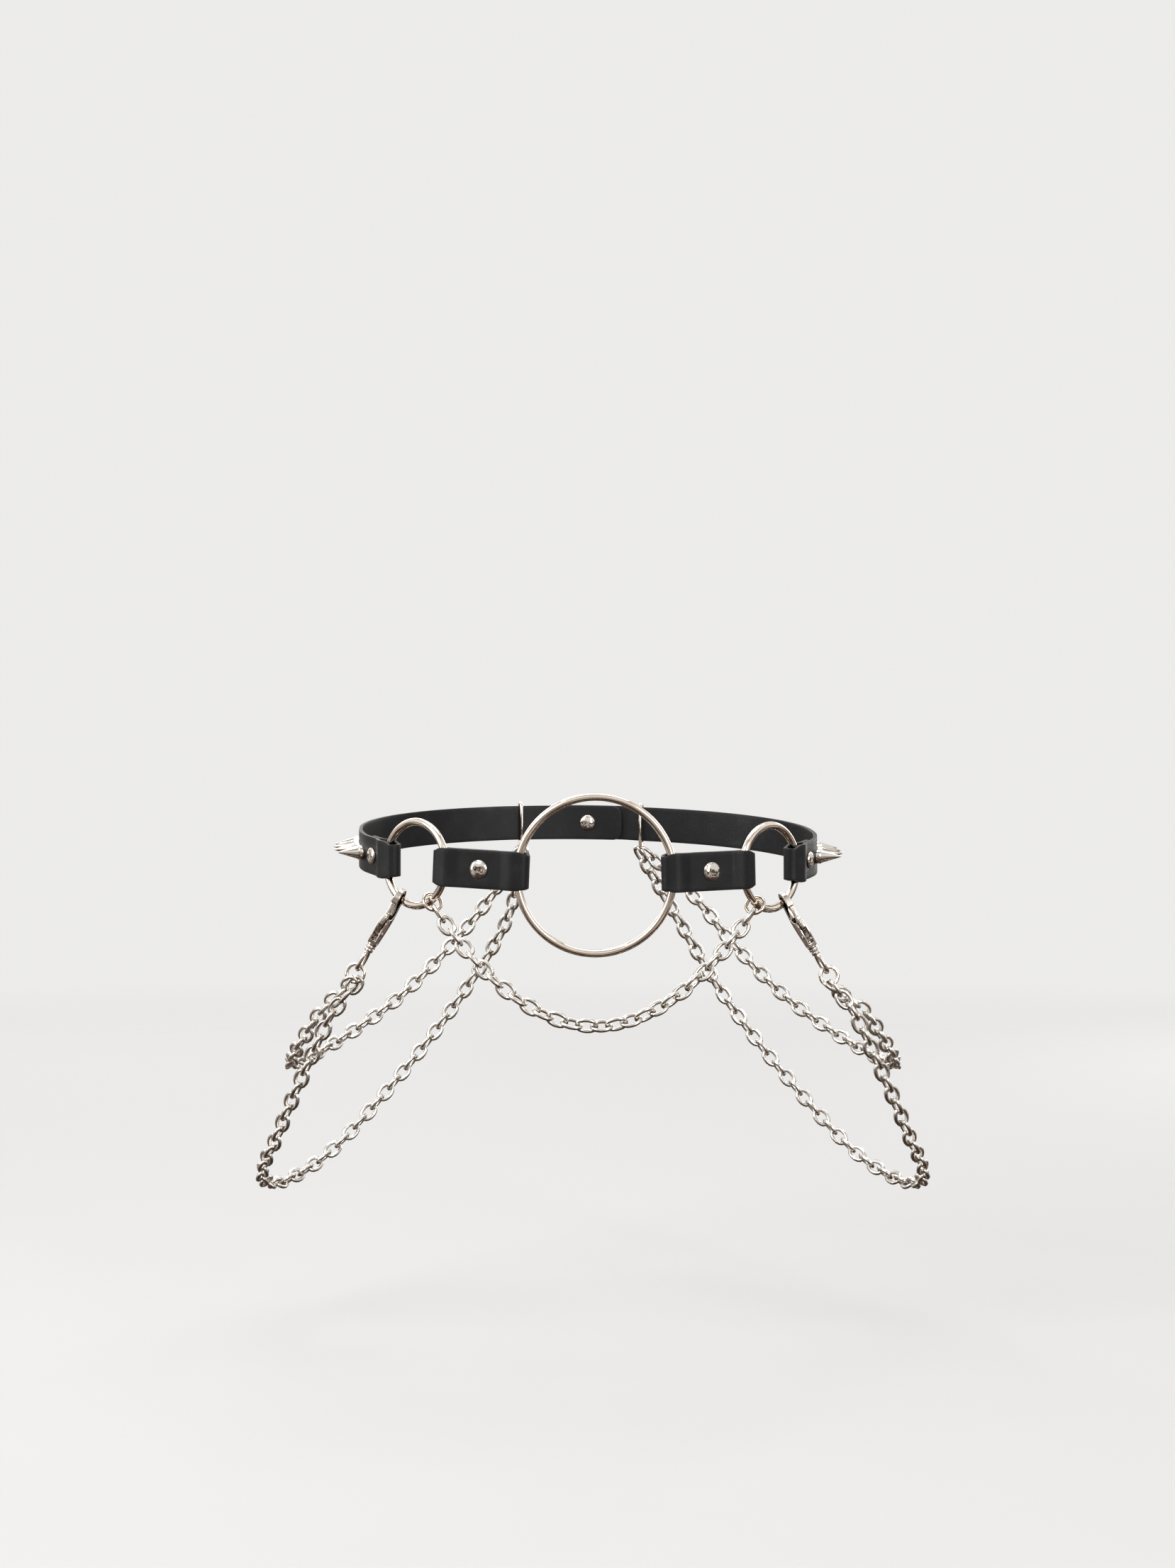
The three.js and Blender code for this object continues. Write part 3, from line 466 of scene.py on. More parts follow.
def cut_edge():
    """The cut edge of the leather: dyed and burnished, with layers along it."""
    finish = Finish("leather_cut_edge")
    layers = finish.cloud(0.35, 3, 0.6, (0.3, 0.3, 1))
    patches = finish.cloud(5, 2)
    finish.give("Base Color", finish.colours(layers * 0.6 + patches * 0.4, EDGE_DARK, EDGE_PALE))
    finish.give("Roughness", 0.5 + layers * 0.22)
    finish.bump(layers, 0.06)
    return finish.material


def plated(name, bright, worn, polish, spread, ripple_mm, ripple_depth):
    """Nickel plate: faint cloudy tarnish, hairline scratches and the ripple of what lies under it."""
    finish = Finish(name, Metallic=1.0)
    cloudy = finish.cloud(7, 3, 0.55)
    hairs = finish.cloud(0.5, 2, 0.6, (1, 1, 0.08))
    specks = finish.cloud(0.9, 3, 0.6).between(0.62, 0.8)
    finish.give("Base Color", finish.colours(cloudy.between(0.35, 0.8) * 0.8 + specks * 0.2, bright, worn))
    finish.give("Roughness", polish + (cloudy * 0.6 + hairs * 0.4) * spread)
    finish.bump(finish.cloud(ripple_mm, 2) + hairs * 0.05, ripple_depth)
    return finish.material


leather = grained_leather()
edge = cut_edge()
ring_metal = plated("ring_nickel", (0.84, 0.755, 0.665), (0.70, 0.60, 0.51), 0.05, 0.08, 6, 0.02)
chain_metal = plated("chain_nickel", (0.76, 0.73, 0.685), (0.56, 0.53, 0.49), 0.15, 0.14, 2.5, 0.03)
clip_metal = plated("clip_nickel", (0.70, 0.65, 0.60), (0.54, 0.49, 0.44), 0.12, 0.16, 1.8, 0.05)
stud_metal = plated("stud_nickel", (0.76, 0.715, 0.66), (0.66, 0.61, 0.555), 0.05, 0.09, 5, 0.02)
# The sunk panels' finish: its dark brown is painted shade for the hollows.
clip_recess_painted_shade = plated("clip_recess_painted_shade", (0.36, 0.26, 0.22), (0.22, 0.15, 0.125), 0.26, 0.2, 1.5, 0.05)
FINISHES = {
    "leather": [leather, edge],
    "ring_metal": [ring_metal],
    "chain_metal": [chain_metal],
    "clip_metal": [clip_metal, clip_recess_painted_shade],
    "stud_metal": [stud_metal],
}


def set_piece(name, bm, slot, *stands_for, body="belt", sharp=None):
    """Puts a piece in the scene in metres, riding on its body in place of the CAD nodes."""
    bmesh.ops.scale(bm, vec=(MM,) * 3, verts=bm.verts)
    for face in bm.faces:
        face.smooth = True
    mesh = mesh_of(bm, name)
    if sharp:
        mesh.set_sharp_from_angle(angle=radians(sharp))
    for material in FINISHES[slot]:
        mesh.materials.append(material)
    piece = bpy.data.objects.new(name, mesh)
    bpy.context.collection.objects.link(piece)
    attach(piece, body)
    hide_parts(*stands_for)
    return piece


LEATHER_EDGE = 0.4
EDGE_SEGMENTS = 3


def thicken(piece):
    """Gives a leather sheet its thickness and rounds its cut edges."""
    wall = piece.modifiers.new("wall", "SOLIDIFY")
    wall.thickness = LEATHER * MM
    wall.offset = 0
    wall.use_even_offset = True
    wall.material_offset_rim = 1
    soft = piece.modifiers.new("edge", "BEVEL")
    soft.width = LEATHER_EDGE * MM
    soft.segments = EDGE_SEGMENTS
    soft.limit_method = "ANGLE"
    soft.angle_limit = radians(60)


def ease(piece, width):
    """Rounds a cast piece's edges."""
    soft = piece.modifiers.new("eased", "BEVEL")
    soft.width = width * MM
    soft.segments = EDGE_SEGMENTS
    soft.limit_method = "ANGLE"
    soft.angle_limit = radians(32)
    soft.use_clamp_overlap = False


# Leather.

LOOP_STEPS = 18
LOOP_OUT = RING_WIRE / 2 + GAP + LEATHER / 2
SETTLE = [k / 8 for k in range(1, 9)]


def loop_reach(ring_radius, half_height):
    return ring_radius - sqrt(ring_radius**2 - half_height**2) + GAP + LOOP_SLACK


def fold_points(wire, into, out, reach, back, front):
    """The leather's middle line where it folds round a ring's wire, from its back layer to its front."""

    def layer(share, sign, settled):
        d = share * FOLD_RUN
        near = wire - into * d + out * sign * LOOP_OUT
        return near.lerp(settled(d), smooth(share, 0.1, 1))

    turn = [pi * k / LOOP_STEPS for k in range(LOOP_STEPS + 1)]
    half_turn = [wire + into * (reach + LOOP_OUT * sin(a)) - out * LOOP_OUT * cos(a) for a in turn]
    behind = [layer(share, -1, back) for share in reversed(SETTLE)]
    return behind + half_turn + [layer(share, 1, front) for share in SETTLE]


def pressed(distance, deep=0.28, width=6.2):
    """How far the leather sinks under a rivet's rim, at a distance from the rivet's middle."""
    return deep * smooth(width - distance, 0, 3)


def pulled_in(beyond):
    """How much narrower the leather is on each edge where it is bent round a wire, this far past its middle."""
    tip = LOOP_OUT + GAP + LOOP_SLACK
    return 0.2 * smooth(beyond, 0, tip) + 1.3 * min(max((beyond - tip + 3.2) / 4.2, 0), 1) ** 2.4


def waver(point, size, amount):
    return noise.noise(point / size) * amount


def tab(name, ring):
    side = ring.side
    flat = hypot(ring.centre.x - LARGE_CENTRE.x, ring.centre.y - LARGE_CENTRE.y)
    slope = atan2(ring.centre.z - LARGE_CENTRE.z, flat)
    start = LARGE_CENTRE + Vector((side * LARGE_RADIUS * cos(slope), 0, LARGE_RADIUS * sin(slope)))
    end = ring.on_wire(-1, degrees(slope))
    length = (end - start).length
    along = (end - start).normalized()
    out = (along.cross(UP) * side).normalized()
    across = along.cross(out)
    setting = frame_at(start, along, out, across)

    def in_plane(axis):
        return Vector((axis.dot(along), axis.dot(out))).normalized()

    large = fold_points(
        Vector((0, 0)), in_plane(Vector((-side, 0, 0))), in_plane(FORWARD),
        loop_reach(LARGE_RADIUS, STRAP_WIDTH / 2), lambda d: Vector((d, 0)), lambda d: Vector((d, STACK)),
    )
    small = fold_points(
        Vector((length, 0)), in_plane(ring.away_axis), in_plane(ring.out_axis),
        loop_reach(SMALL_RADIUS, STRAP_WIDTH / 2),
        lambda d: Vector((length - d, -STACK)), lambda d: Vector((length - d, STACK)),
    )
    middle = length / 2
    lap = TAB_OVERLAP / 2
    line = even_steps([Vector((middle + lap, 0)), *large, *reversed(small), Vector((middle - lap, -STACK))], 1.2)
    ends, _ = to_end(line)

    def place(i, height):
        spot = line[i]
        normal = outward(line, i)
        beyond = max(-spot.x, spot.x - length)
        half = STRAP_WIDTH / 2 - pulled_in(beyond) - 1.3 * max(0, 1 - ends[i] / 1.4) ** 2
        lift = 0
        if spot.y > STACK / 2:
            lift = waver(Vector((spot.x, height * 9, side * 7)), 9, 0.22)
            lift -= pressed(hypot(spot.x - middle, height * half))
        toward = copysign(1, normal.y) if abs(spot.x - middle) < length / 2 - 6 else 0
        return Vector((spot.x, spot.y + lift * abs(toward), height * half))

    sheet = moved(leather_sheet(len(line), place), setting)
    thicken(set_piece(f"tab_{name}_leather", sheet, "leather", f"tab_{name}"))
    front = STACK + LEATHER / 2
    at_rivet = setting @ Matrix.Translation((middle, 0, 0)) @ Matrix.Rotation(-pi / 2, 4, "X")
    rivet(f"tab_rivet_{name}", TAB_RIVET, front, -front, at_rivet)


def rivet(node, head, front, back, setting):
    """A domed cap with a rolled rim in front, and a flat cap behind."""
    radius = head / 2
    rim = front - 0.12
    dome = [(radius * 0.94 * cos(a), rim + 0.62 + 1.18 * sin(a)) for a in (radians(k * 7.5) for k in range(13))]
    profile = [
        (0, back - 1.2), (3.1, back - 1.2), (3.55, back - 1.1), (3.75, back - 0.8), (3.7, back - 0.3),
        (1.5, back - 0.25), (1.5, rim), (radius - 0.35, rim), (radius - 0.06, rim + 0.1), (radius, rim + 0.34),
        (radius - 0.1, rim + 0.56), *dome,
    ]
    profile[-1] = (0, profile[-1][1])
    set_piece(f"{node}_cap", moved(turned(profile), setting), "stud_metal", node, sharp=50)


def strap_frame(side, arc, out_at, reach=GAP):
    ahead = on_strap(side, arc + reach, out_at(arc + reach))
    behind = on_strap(side, arc - reach, out_at(arc - reach))
    at = (ahead + behind) / 2
    along = ((ahead - behind) * side).normalized()
    place = Vector((at.x, at.y, belt_height(at.x, at.y)))
    return frame_at(place, along.to_3d(), UP, Vector((along.y, -along.x, 0)))


TIP_ROUND = 5


def spread(low, high, most):
    count = ceil((high - low) / most)
    return [low + (high - low) * (k + 1) / count for k in range(count)]


def strap(name, ring):
    side = ring.side
    wire_arc = SMALL_RING_ARC + SMALL_RADIUS
    wire = ring.centre.to_2d() + ring.away * SMALL_RADIUS
    base, _, base_normal = waist_frame(WORN_SHIFT + side * wire_arc)
    wire_out = (wire - base).dot(base_normal)

    def lift(d):
        return (wire_out - STACK / 2) * (1 - min(d / STRAP_LIFT, 1)) ** 2

    def outer(d):
        return lift(d) + STACK * (1 - smooth(d, STRAP_TURN_IN - GAP, STRAP_TURN_IN + STRAP_SETTLE))

    rise = belt_height(wire.x, wire.y) - ring.centre.z
    fold = fold_points(
        wire, -ring.away, ring.out, loop_reach(SMALL_RADIUS, STRAP_WIDTH / 2 + abs(rise)),
        lambda d: on_strap(side, wire_arc + d, lift(d)),
        lambda d: on_strap(side, wire_arc + d, lift(d) + STACK),
    )
    end_arc = HALF_ROUND + BACK_OVERLAP / 2 - side * WORN_SHIFT
    over_arc = end_arc - BACK_OVERLAP - GAP
    rise_arc = over_arc - BACK_RISE

    def out_at(arc):
        stacked = STACK * smooth(arc, rise_arc, over_arc) if side > 0 else 0
        return outer(arc - wire_arc) + stacked

    turned_in = [on_strap(side, wire_arc + d, lift(d)) for d in (STRAP_TURN_IN, 16.5, 13.5, 11)]
    arcs = spread(wire_arc + FOLD_RUN, end_arc - TIP_ROUND, 2.5) + spread(end_arc - TIP_ROUND, end_arc, 0.6)
    run = [on_strap(side, arc, out_at(arc)) for arc in arcs]
    line = even_steps([*turned_in, *fold, *run], 2.6)
    ends, far = to_end(line)
    inward = -ring.away
    rivet_at = strap_frame(side, wire_arc + STRAP_RIVET_OUT, out_at)
    rivet_spot = rivet_at.translation.to_2d()
    spike_arcs = [wire_arc + SPIKE_FIRST + k * SPIKE_PITCH for k in range(SPIKES_A_SIDE)]
    spikes = [strap_frame(side, arc, out_at, SPIKE_PITCH / 2) for arc in spike_arcs]

    def place(i, height):
        spot = line[i]
        normal = outward(line, i) * side
        beyond = (spot - wire).dot(inward)
        half = STRAP_WIDTH / 2 - pulled_in(beyond)
        corner = TIP_ROUND if far[i] > far[-1] / 2 else 1.6
        half -= corner * (1 - sqrt(1 - max(0, 1 - ends[i] / corner) ** 2))
        if far[i] > STRAP_TURN_IN + 12:
            sink = pressed(hypot((spot - rivet_spot).length, height * half))
            for seat in spikes:
                sink += pressed(hypot((spot - seat.translation.to_2d()).length, height * half), 0.2, 5.2)
            ripple = waver(Vector((spot.x, spot.y, height * 6)), 13, 0.24)
            spot = spot + normal * (ripple - sink)
        return Vector((spot.x, spot.y, height * half + belt_height(spot.x, spot.y)))

    thicken(set_piece(f"strap_{name}_leather", leather_sheet(len(line), place), "leather", f"strap_{name}"))
    rivet(f"strap_rivet_{name}", STRAP_RIVET, LEATHER / 2, -STACK - LEATHER / 2, rivet_at)
    for k, at in enumerate(spikes):
        spike(f"spike_{name}_{k + 1}", at)


def spike(node, setting):
    """A cone screwed to the strap: a short drum, a groove, then a cone with a small round tip."""
    seat = LEATHER / 2 + 0.1
    profile = [
        (0, -seat - 1.2), (2.7, -seat - 1.2), (3.1, -seat - 1.0), (3.2, -seat - 0.5), (3.2, -seat - 0.2),
        (1.5, -seat - 0.2), (1.5, seat), (3.75, seat), (3.98, seat + 0.12), (4, seat + 0.4), (4, seat + 2.5),
        (3.9, seat + 2.85), (3.6, seat + 3.1), (3.52, seat + 3.25), (3.44, seat + 3.6),
        (0.42, seat + 13.4), (0.3, seat + 13.7), (0.15, seat + 13.86), (0, seat + 13.9),
    ]
    set_piece(f"{node}_cone", moved(turned(profile, 40), setting), "stud_metal", node, sharp=40)


# Rings, hooks and chains.

def large_ring():
    upright = Matrix.Translation(LARGE_CENTRE) @ Matrix.Rotation(pi / 2, 4, "X")
    bm = moved(round_ring(LARGE_RADIUS, RING_WIRE, 144, 24), upright)
    set_piece("ring_large_wire", bm, "ring_metal", "ring_large")


def small_ring(name, ring):
    setting = frame_at(ring.centre, ring.away_axis, UP, ring.away_axis.cross(UP))
    bm = moved(round_ring(SMALL_RADIUS, RING_WIRE, 96, 24), setting)
    set_piece(f"ring_small_{name}_wire", bm, "ring_metal", f"ring_small_{name}")


def jump_ring(piece, node, setting):
    bm = moved(round_ring(JUMP_RADIUS, JUMP_WIRE, 40, 16), setting)
    set_piece(piece, bm, "ring_metal", node)


class SwagJump:
    """Where one of the swag's jump rings hangs on a small ring's wire."""

    def __init__(self, ring):
        wire = ring.on_wire(-1, SWAG_JUMP_ANGLE)
        spoke = (wire - ring.centre).normalized()
        along = ring.out_axis.cross(spoke).normalized() * ring.side
        self.face = Matrix.Rotation(-ring.side * radians(JUMP_TURN), 3, spoke) @ along
        if self.face.y > 0:
            self.face.negate()
        self.down = (-UP + self.face * self.face.z).normalized()
        self.centre = wire + self.down * (JUMP_INNER / 2 - RING_WIRE / 2 - 2 * GAP)
        self.setting = frame_at(self.centre, self.down.cross(self.face), self.down, self.face)

    def pulled(self, toward):
        pull = Vector((toward * SWAG_PULL, -SWAG_PULL, -1))
        pull = (pull - self.face * pull.dot(self.face)).normalized()
        return self.centre + pull * JUMP_RADIUS


def along_line(line, run, distance):
    i = next((k for k in range(1, len(line)) if run[k] >= distance), len(line) - 1)
    direction = (line[i] - line[i - 1]).normalized()
    return line[i - 1] + direction * (distance - run[i - 1]), direction


def link_place(at, direction, facing, turn):
    side = facing.cross(direction).normalized()
    return frame_at(at, direction, side, direction.cross(side)) @ Matrix.Rotation(radians(turn), 4, "X")


LINK_LENGTH = LINK_PITCH + 2 * CHAIN_WIRE
CHAIN_START = (LINK_LENGTH - CHAIN_WIRE) / 2 - (CHAIN_WIRE + JUMP_WIRE) / 2 - GAP
SWAG_POINTS = 200
SWAG_ROUNDS = 40


def swag(left, right):
    """The front chain, hung as deep as its own length needs."""
    start, end = left.pulled(1), right.pulled(-1)
    wanted = 2 * CHAIN_START + (SWAG_LINKS - 1) * LINK_PITCH

    def hung(drop):
        line = []
        for k in range(SWAG_POINTS + 1):
            share = k / SWAG_POINTS
            hang = 1 - (2 * share - 1) ** 2
            line.append(start.lerp(end, share) + Vector((0, -SWAG_BULGE, -drop)) * hang)
        return line

    low, high = 0.0, wanted
    for _ in range(SWAG_ROUNDS):
        drop = (low + high) / 2
        if measured(hung(drop))[-1] < wanted:
            low = drop
        else:
            high = drop
    line = hung(low)
    run = measured(line)
    places = []
    for k in range(SWAG_LINKS):
        at, direction = along_line(line, run, CHAIN_START + k * LINK_PITCH)
        twist = SWAG_TWIST[0] + (SWAG_TWIST[1] - SWAG_TWIST[0]) * k / (SWAG_LINKS - 1)
        turn = twist + (0 if k % 2 else 90)
        places.append(link_place(at, direction, FORWARD, turn))
    set_piece("swag_chain_links", run_of_links(places, LINK_PITCH, 28, 10), "chain_metal", "swag_chain")


def smooth_route(points, steps=24):
    """A centripetal curve through the points."""
    line = []
    spots = [points[0] * 2 - points[1], *points, points[-1] * 2 - points[-2]]
    for p0, p1, p2, p3 in zip(spots, spots[1:], spots[2:], spots[3:]):
        t0, t1 = 0.0, sqrt((p1 - p0).length)
        t2 = t1 + sqrt((p2 - p1).length)
        t3 = t2 + sqrt((p3 - p2).length)
        for k in range(steps):
            t = t1 + (t2 - t1) * k / steps
            a1 = p0.lerp(p1, (t - t0) / (t1 - t0))
            a2 = p1.lerp(p2, (t - t1) / (t2 - t1))
            a3 = p2.lerp(p3, (t - t2) / (t3 - t2))
            b1 = a1.lerp(a2, (t - t0) / (t2 - t0))
            b2 = a2.lerp(a3, (t - t1) / (t3 - t1))
            line.append(b1.lerp(b2, (t - t1) / (t2 - t1)))
    return [*line, points[-1]]


def hip_chain(kind, name, side, start, end):
    middle = [Vector((HIP_SHIFT + side * x, y, z)) for x, y, z in HIP_ROUTES[kind]]
    line = smooth_route([start, *middle, end])
    run = measured(line)
    hanging = run[-1] - 2 * CHAIN_START
    count = round(hanging / LINK_PITCH) + 1
    pitch = hanging / (count - 1)
    places = []
    for k in range(count):
        at, direction = along_line(line, run, CHAIN_START + k * pitch)
        facing = Vector((at.x, at.y * 1.4, 0)).normalized()
        facing = (facing - direction * facing.dot(direction)).normalized()
        places.append(link_place(at, direction, facing, HIP_LINK_TURN if k % 2 else -HIP_LINK_TURN))
    bm = run_of_links(places, pitch, 16, 6)
    set_piece(f"hip_chain_{kind}_{name}_links", bm, "chain_metal", f"hip_chain_{kind}_{name}")


MOUTH_FLOOR = -(HOOK_DROP + CLIP_MOUTH)
NOSE_END = -(HOOK_DROP + HOOK_NOSE)
PIVOT_X = HOOK_OUTER - LEVER_DEPTH / 2 - PIVOT_EYE - PIVOT_PIN
SLOT = 2.8
SLOT_BACK = 1.9
RECESS = 0.35
RECESS_RIM = 0.62
RECESS_SLOPE = 0.12


def arc_points(radius, low, high, steps, centre=(0, -HOOK_DROP)):
    turns = [low + (high - low) * k / steps for k in range(steps + 1)]
    return [(centre[0] + radius * cos(a), centre[1] + radius * sin(a)) for a in turns]


def hook_body():
    """The cast body: a plate with a slot for its lever, a sunk panel in each face and a slimmer hook. The sunk panels
    are coloured dark brown as painted shade.
    """
    side = HOOK_OUTER - LEVER_DEPTH / 2
    outline = [
        (HOOK_OUTER, NOSE_END), *arc_points(HOOK_OUTER, 0, pi, 28), (-HOOK_OUTER, MOUTH_FLOOR + 1),
        (-HOOK_OUTER + 0.35, -17), (-HOOK_OUTER + 1.2, -22), (-CLIP_FOOT / 2, -CLIP_LENGTH),
        (CLIP_FOOT / 2, -CLIP_LENGTH), (side, -PIVOT_BELOW), (side, MOUTH_FLOOR - LEVER_DEPTH),
        (HOOK_RADIUS - LEVER_DEPTH / 2, MOUTH_FLOOR), (-HOOK_RADIUS + 1.6, MOUTH_FLOOR + 0.6),
        (-HOOK_RADIUS, MOUTH_FLOOR + LEVER_DEPTH), *arc_points(HOOK_RADIUS, pi, 0, 24), (HOOK_RADIUS, NOSE_END),
    ]
    foot = MOUTH_FLOOR + LEVER_DEPTH
    slot_corner = (-HOOK_RADIUS + SLOT_BACK, -CLIP_LENGTH + HOOK_WALL, -SLOT / 2)
    slot = block(slot_corner, (2 * HOOK_OUTER, foot + GAP, SLOT / 2))
    bm = cut(plate(outline, CLIP_THICK), slot)
    panels = [face for face in bm.faces if abs(face.normal.z) > 0.9 and abs(face.calc_center_median().z) > SLOT / 2]
    for panel in panels:
        bmesh.ops.inset_region(bm, faces=[panel], thickness=RECESS_RIM, depth=0, use_even_offset=True)
        sunk = bmesh.ops.inset_region(bm, faces=[panel], thickness=RECESS_SLOPE, depth=-RECESS, use_even_offset=True)
        # The sunk panels and their sloped sides take the second finish, whose dark brown is painted shade.
        for face in (panel, *sunk["faces"]):
            face.material_index = 1
    for vert in bm.verts:
        rise = (vert.co.y - foot) / (HOOK_OUTER - HOOK_DROP - foot)
        vert.co.z *= 1 - max(rise, 0) * (1 - HOOK_TIP_THICK / CLIP_THICK)
    return bm


def pivot_pin():
    half = CLIP_THICK / 2
    profile = [
        (0, -half - 0.3), (0.8, -half - 0.22), (1.2, -half), (1.2, -half + 0.5), (PIVOT_PIN, -half + 0.6),
    ]
    profile += [(radius, -height) for radius, height in reversed(profile)]
    return moved(turned(profile, 24), Matrix.Translation((PIVOT_X, -PIVOT_BELOW, 0)))


STAND = Matrix.Rotation(-pi / 2, 4, "X")


def collar():
    profile = [
        (0, 0.5), (2.2, 0.5), (2.65, 0.2), (2.65, -0.5), (2.4, -0.9), (2.4, -1.4), (2.65, -1.8), (2.65, -2.2),
        (2.3, -2.6), (0, -2.6),
    ]
    return moved(turned(profile, 32), Matrix.Translation((0, -CLIP_LENGTH, 0)) @ STAND)


def lever():
    front = HOOK_OUTER - GAP - PIVOT_X
    top = NOSE_END - GAP + PIVOT_BELOW
    knob_top, knob_foot = top * 0.5, top * 0.24
    back = front - LEVER_DEPTH
    outline = [
        (back, top), (front, top), (front, knob_top + LEVER_KNOB + 0.6),
        (front + 0.7, knob_top + LEVER_KNOB - 0.3), (front + LEVER_KNOB - 0.3, knob_top + 1.1),
        (front + LEVER_KNOB, knob_top - 0.2), (front + LEVER_KNOB - 0.1, knob_foot + 1.0),
        (front + LEVER_KNOB - 0.9, knob_foot - 0.2), (front - LEVER_DEPTH / 4 + 0.2, knob_foot - LEVER_KNOB / 2),
        *arc_points(PIVOT_EYE, 0, -pi, 14, (0, 0)), (back, knob_top + LEVER_KNOB),
    ]
    return plate(outline, LEVER_THICK)


def swivel_eye(side):
    eye_top = -(CLIP_LENGTH + COLLAR_HEIGHT + GAP)
    hub_foot = eye_top - EYE_HUB_HEIGHT
    hub_profile = [
        (0, eye_top), (1.9, eye_top), (2.3, eye_top - 0.4), (2.3, hub_foot + 0.4), (1.9, hub_foot), (0, hub_foot - 0.2),
    ]
    hub = turned(hub_profile, 28)
    head = HOOK_WALL - CLIP_LENGTH + GAP
    shank_profile = [
        (0, eye_top - 0.5), (0.7, eye_top - 0.5), (0.7, head), (1.1, head + 0.1), (1.1, head + 0.8), (0, head + 1),
    ]
    shank = turned(shank_profile, 20)
    loop = oval_ring(EYE_LENGTH, EYE_WIDTH, EYE_WIRE, 48, 14)
    loop_top = hub_foot + EYE_WIRE / 2
    moved(loop, Matrix.Translation((0, loop_top - EYE_LENGTH / 2, 0)) @ Matrix.Rotation(pi / 2, 4, "Z"))
    eye = joined(moved(hub, STAND), moved(shank, STAND), loop)
    return moved(eye, Matrix.Rotation(side * radians(EYE_TURN), 4, "Y")), loop_top


def hook(name, ring):
    side = ring.side
    lean = radians(CLIP_LEAN_OUT)
    up = Vector((-side * sin(lean), 0, cos(lean)))
    gate = Matrix.Rotation(side * radians(CLIP_TURN), 3, up) @ FORWARD
    setting = frame_at(ring.on_wire(1, CLIP_ANGLE), gate, up, gate.cross(up))
    body = joined(hook_body(), pivot_pin(), collar())
    ease(set_piece(f"clip_body_{name}_cast", moved(body, setting), "clip_metal", f"clip_body_{name}", sharp=60), 0.3)
    at_pivot = setting @ Matrix.Translation((PIVOT_X, -PIVOT_BELOW, 0))
    node, rides_on = f"clip_lever_{name}", f"lever_{name}"
    thumb = set_piece(f"{node}_cast", moved(lever(), at_pivot), "clip_metal", node, body=rides_on, sharp=60)
    ease(thumb, 0.35)
    eye, loop_top = swivel_eye(side)
    set_piece(f"clip_eye_{name}_swivel", moved(eye, setting), "clip_metal", f"clip_eye_{name}", sharp=50)
    jump_at = loop_top - EYE_LENGTH + EYE_WIRE + GAP + JUMP_WIRE / 2 - JUMP_RADIUS
    stand = Matrix.Translation((0, jump_at, 0)) @ Matrix.Rotation(pi / 2 + side * radians(EYE_TURN), 4, "Y")
    jump = setting @ stand
    jump_ring(f"hip_jump_{name}_wire", f"hip_jump_{name}", jump)
    return jump


def back_loop(name, side):
    length = STRAP_WIDTH + 2 * GAP + BACK_LOOP_DROP + 2 * BACK_LOOP_WIRE
    width = BACK_LOOP_INNER + 2 * BACK_LOOP_WIRE
    at = strap_frame(side, HALF_ROUND - BACK_OVERLAP / 2 - BACK_LOOP_CLEAR, lambda arc: 0)
    drop = (BACK_LOOP_DROP - 2 * GAP) / 2
    setting = at @ Matrix.Translation((0, -drop, 0)) @ Matrix.Rotation(pi / 2, 4, "Y") @ Matrix.Rotation(pi / 2, 4, "Z")
    bm = moved(oval_ring(length, width, BACK_LOOP_WIRE, 48, 14), setting)
    set_piece(f"back_loop_{name}_wire", bm, "ring_metal", f"back_loop_{name}")
    low = at @ Vector((0, -drop - (length - BACK_LOOP_WIRE) / 2, 0))
    return low, at.to_3x3() @ Vector((side, 0, 0))


def strap_post():
    at = strap_frame(1, HALF_ROUND - WORN_SHIFT, lambda arc: 0)
    front, back = STACK + LEATHER / 2 + 0.1, -LEATHER / 2 - 0.1
    profile = [
        (0, back - 2), (1.3, back - 1.9), (2.6, back - 1.6), (3.7, back - 1.2), (4.35, back - 0.8), (4.5, back - 0.4),
        (4.3, back - 0.1), (1.5, back), (1.5, front), (4.3, front + 0.1), (4.5, front + 0.4), (4.35, front + 0.8),
        (3.7, front + 1.2), (2.6, front + 1.6), (1.3, front + 1.9), (0, front + 2),
    ]
    set_piece("strap_post_caps", moved(turned(profile), at), "stud_metal", "strap_post", sharp=50)


large_ring()
jumps = {}
for side, name in ((-1, "left"), (1, "right")):
    ring = SmallRing(side)
    small_ring(name, ring)
    tab(name, ring)
    strap(name, ring)
    jumps[name] = SwagJump(ring)
    jump_ring(f"swag_jump_{name}_wire", f"swag_jump_{name}", jumps[name].setting)
    hip_jump = hook(name, ring)
    low, along = back_loop(name, side)
    face = hip_jump.to_3x3() @ UP
    hang = (-UP + face * face.z).normalized()
    seat = hip_jump.translation + hang * JUMP_RADIUS
    for kind, offset in (("long", -1), ("short", 1)):
        start = seat + hang.cross(face) * offset * HIP_STARTS_APART + UP * HIP_START_LIFT
        end = low - along * offset * HIP_ENDS_APART
        hip_chain(kind, name, side, start, end)
swag(jumps["left"], jumps["right"])
strap_post()


# The studio.

FLOOR = -0.26
FLOOR_RADIUS = 14
FLOOR_FADE = (0.6, 2.4)
CAMERA_BACK = 1.2513
CAMERA_HEIGHT = 0.0466
FOCUS_PIXELS = 3194
PHOTO_HEIGHT = 2212


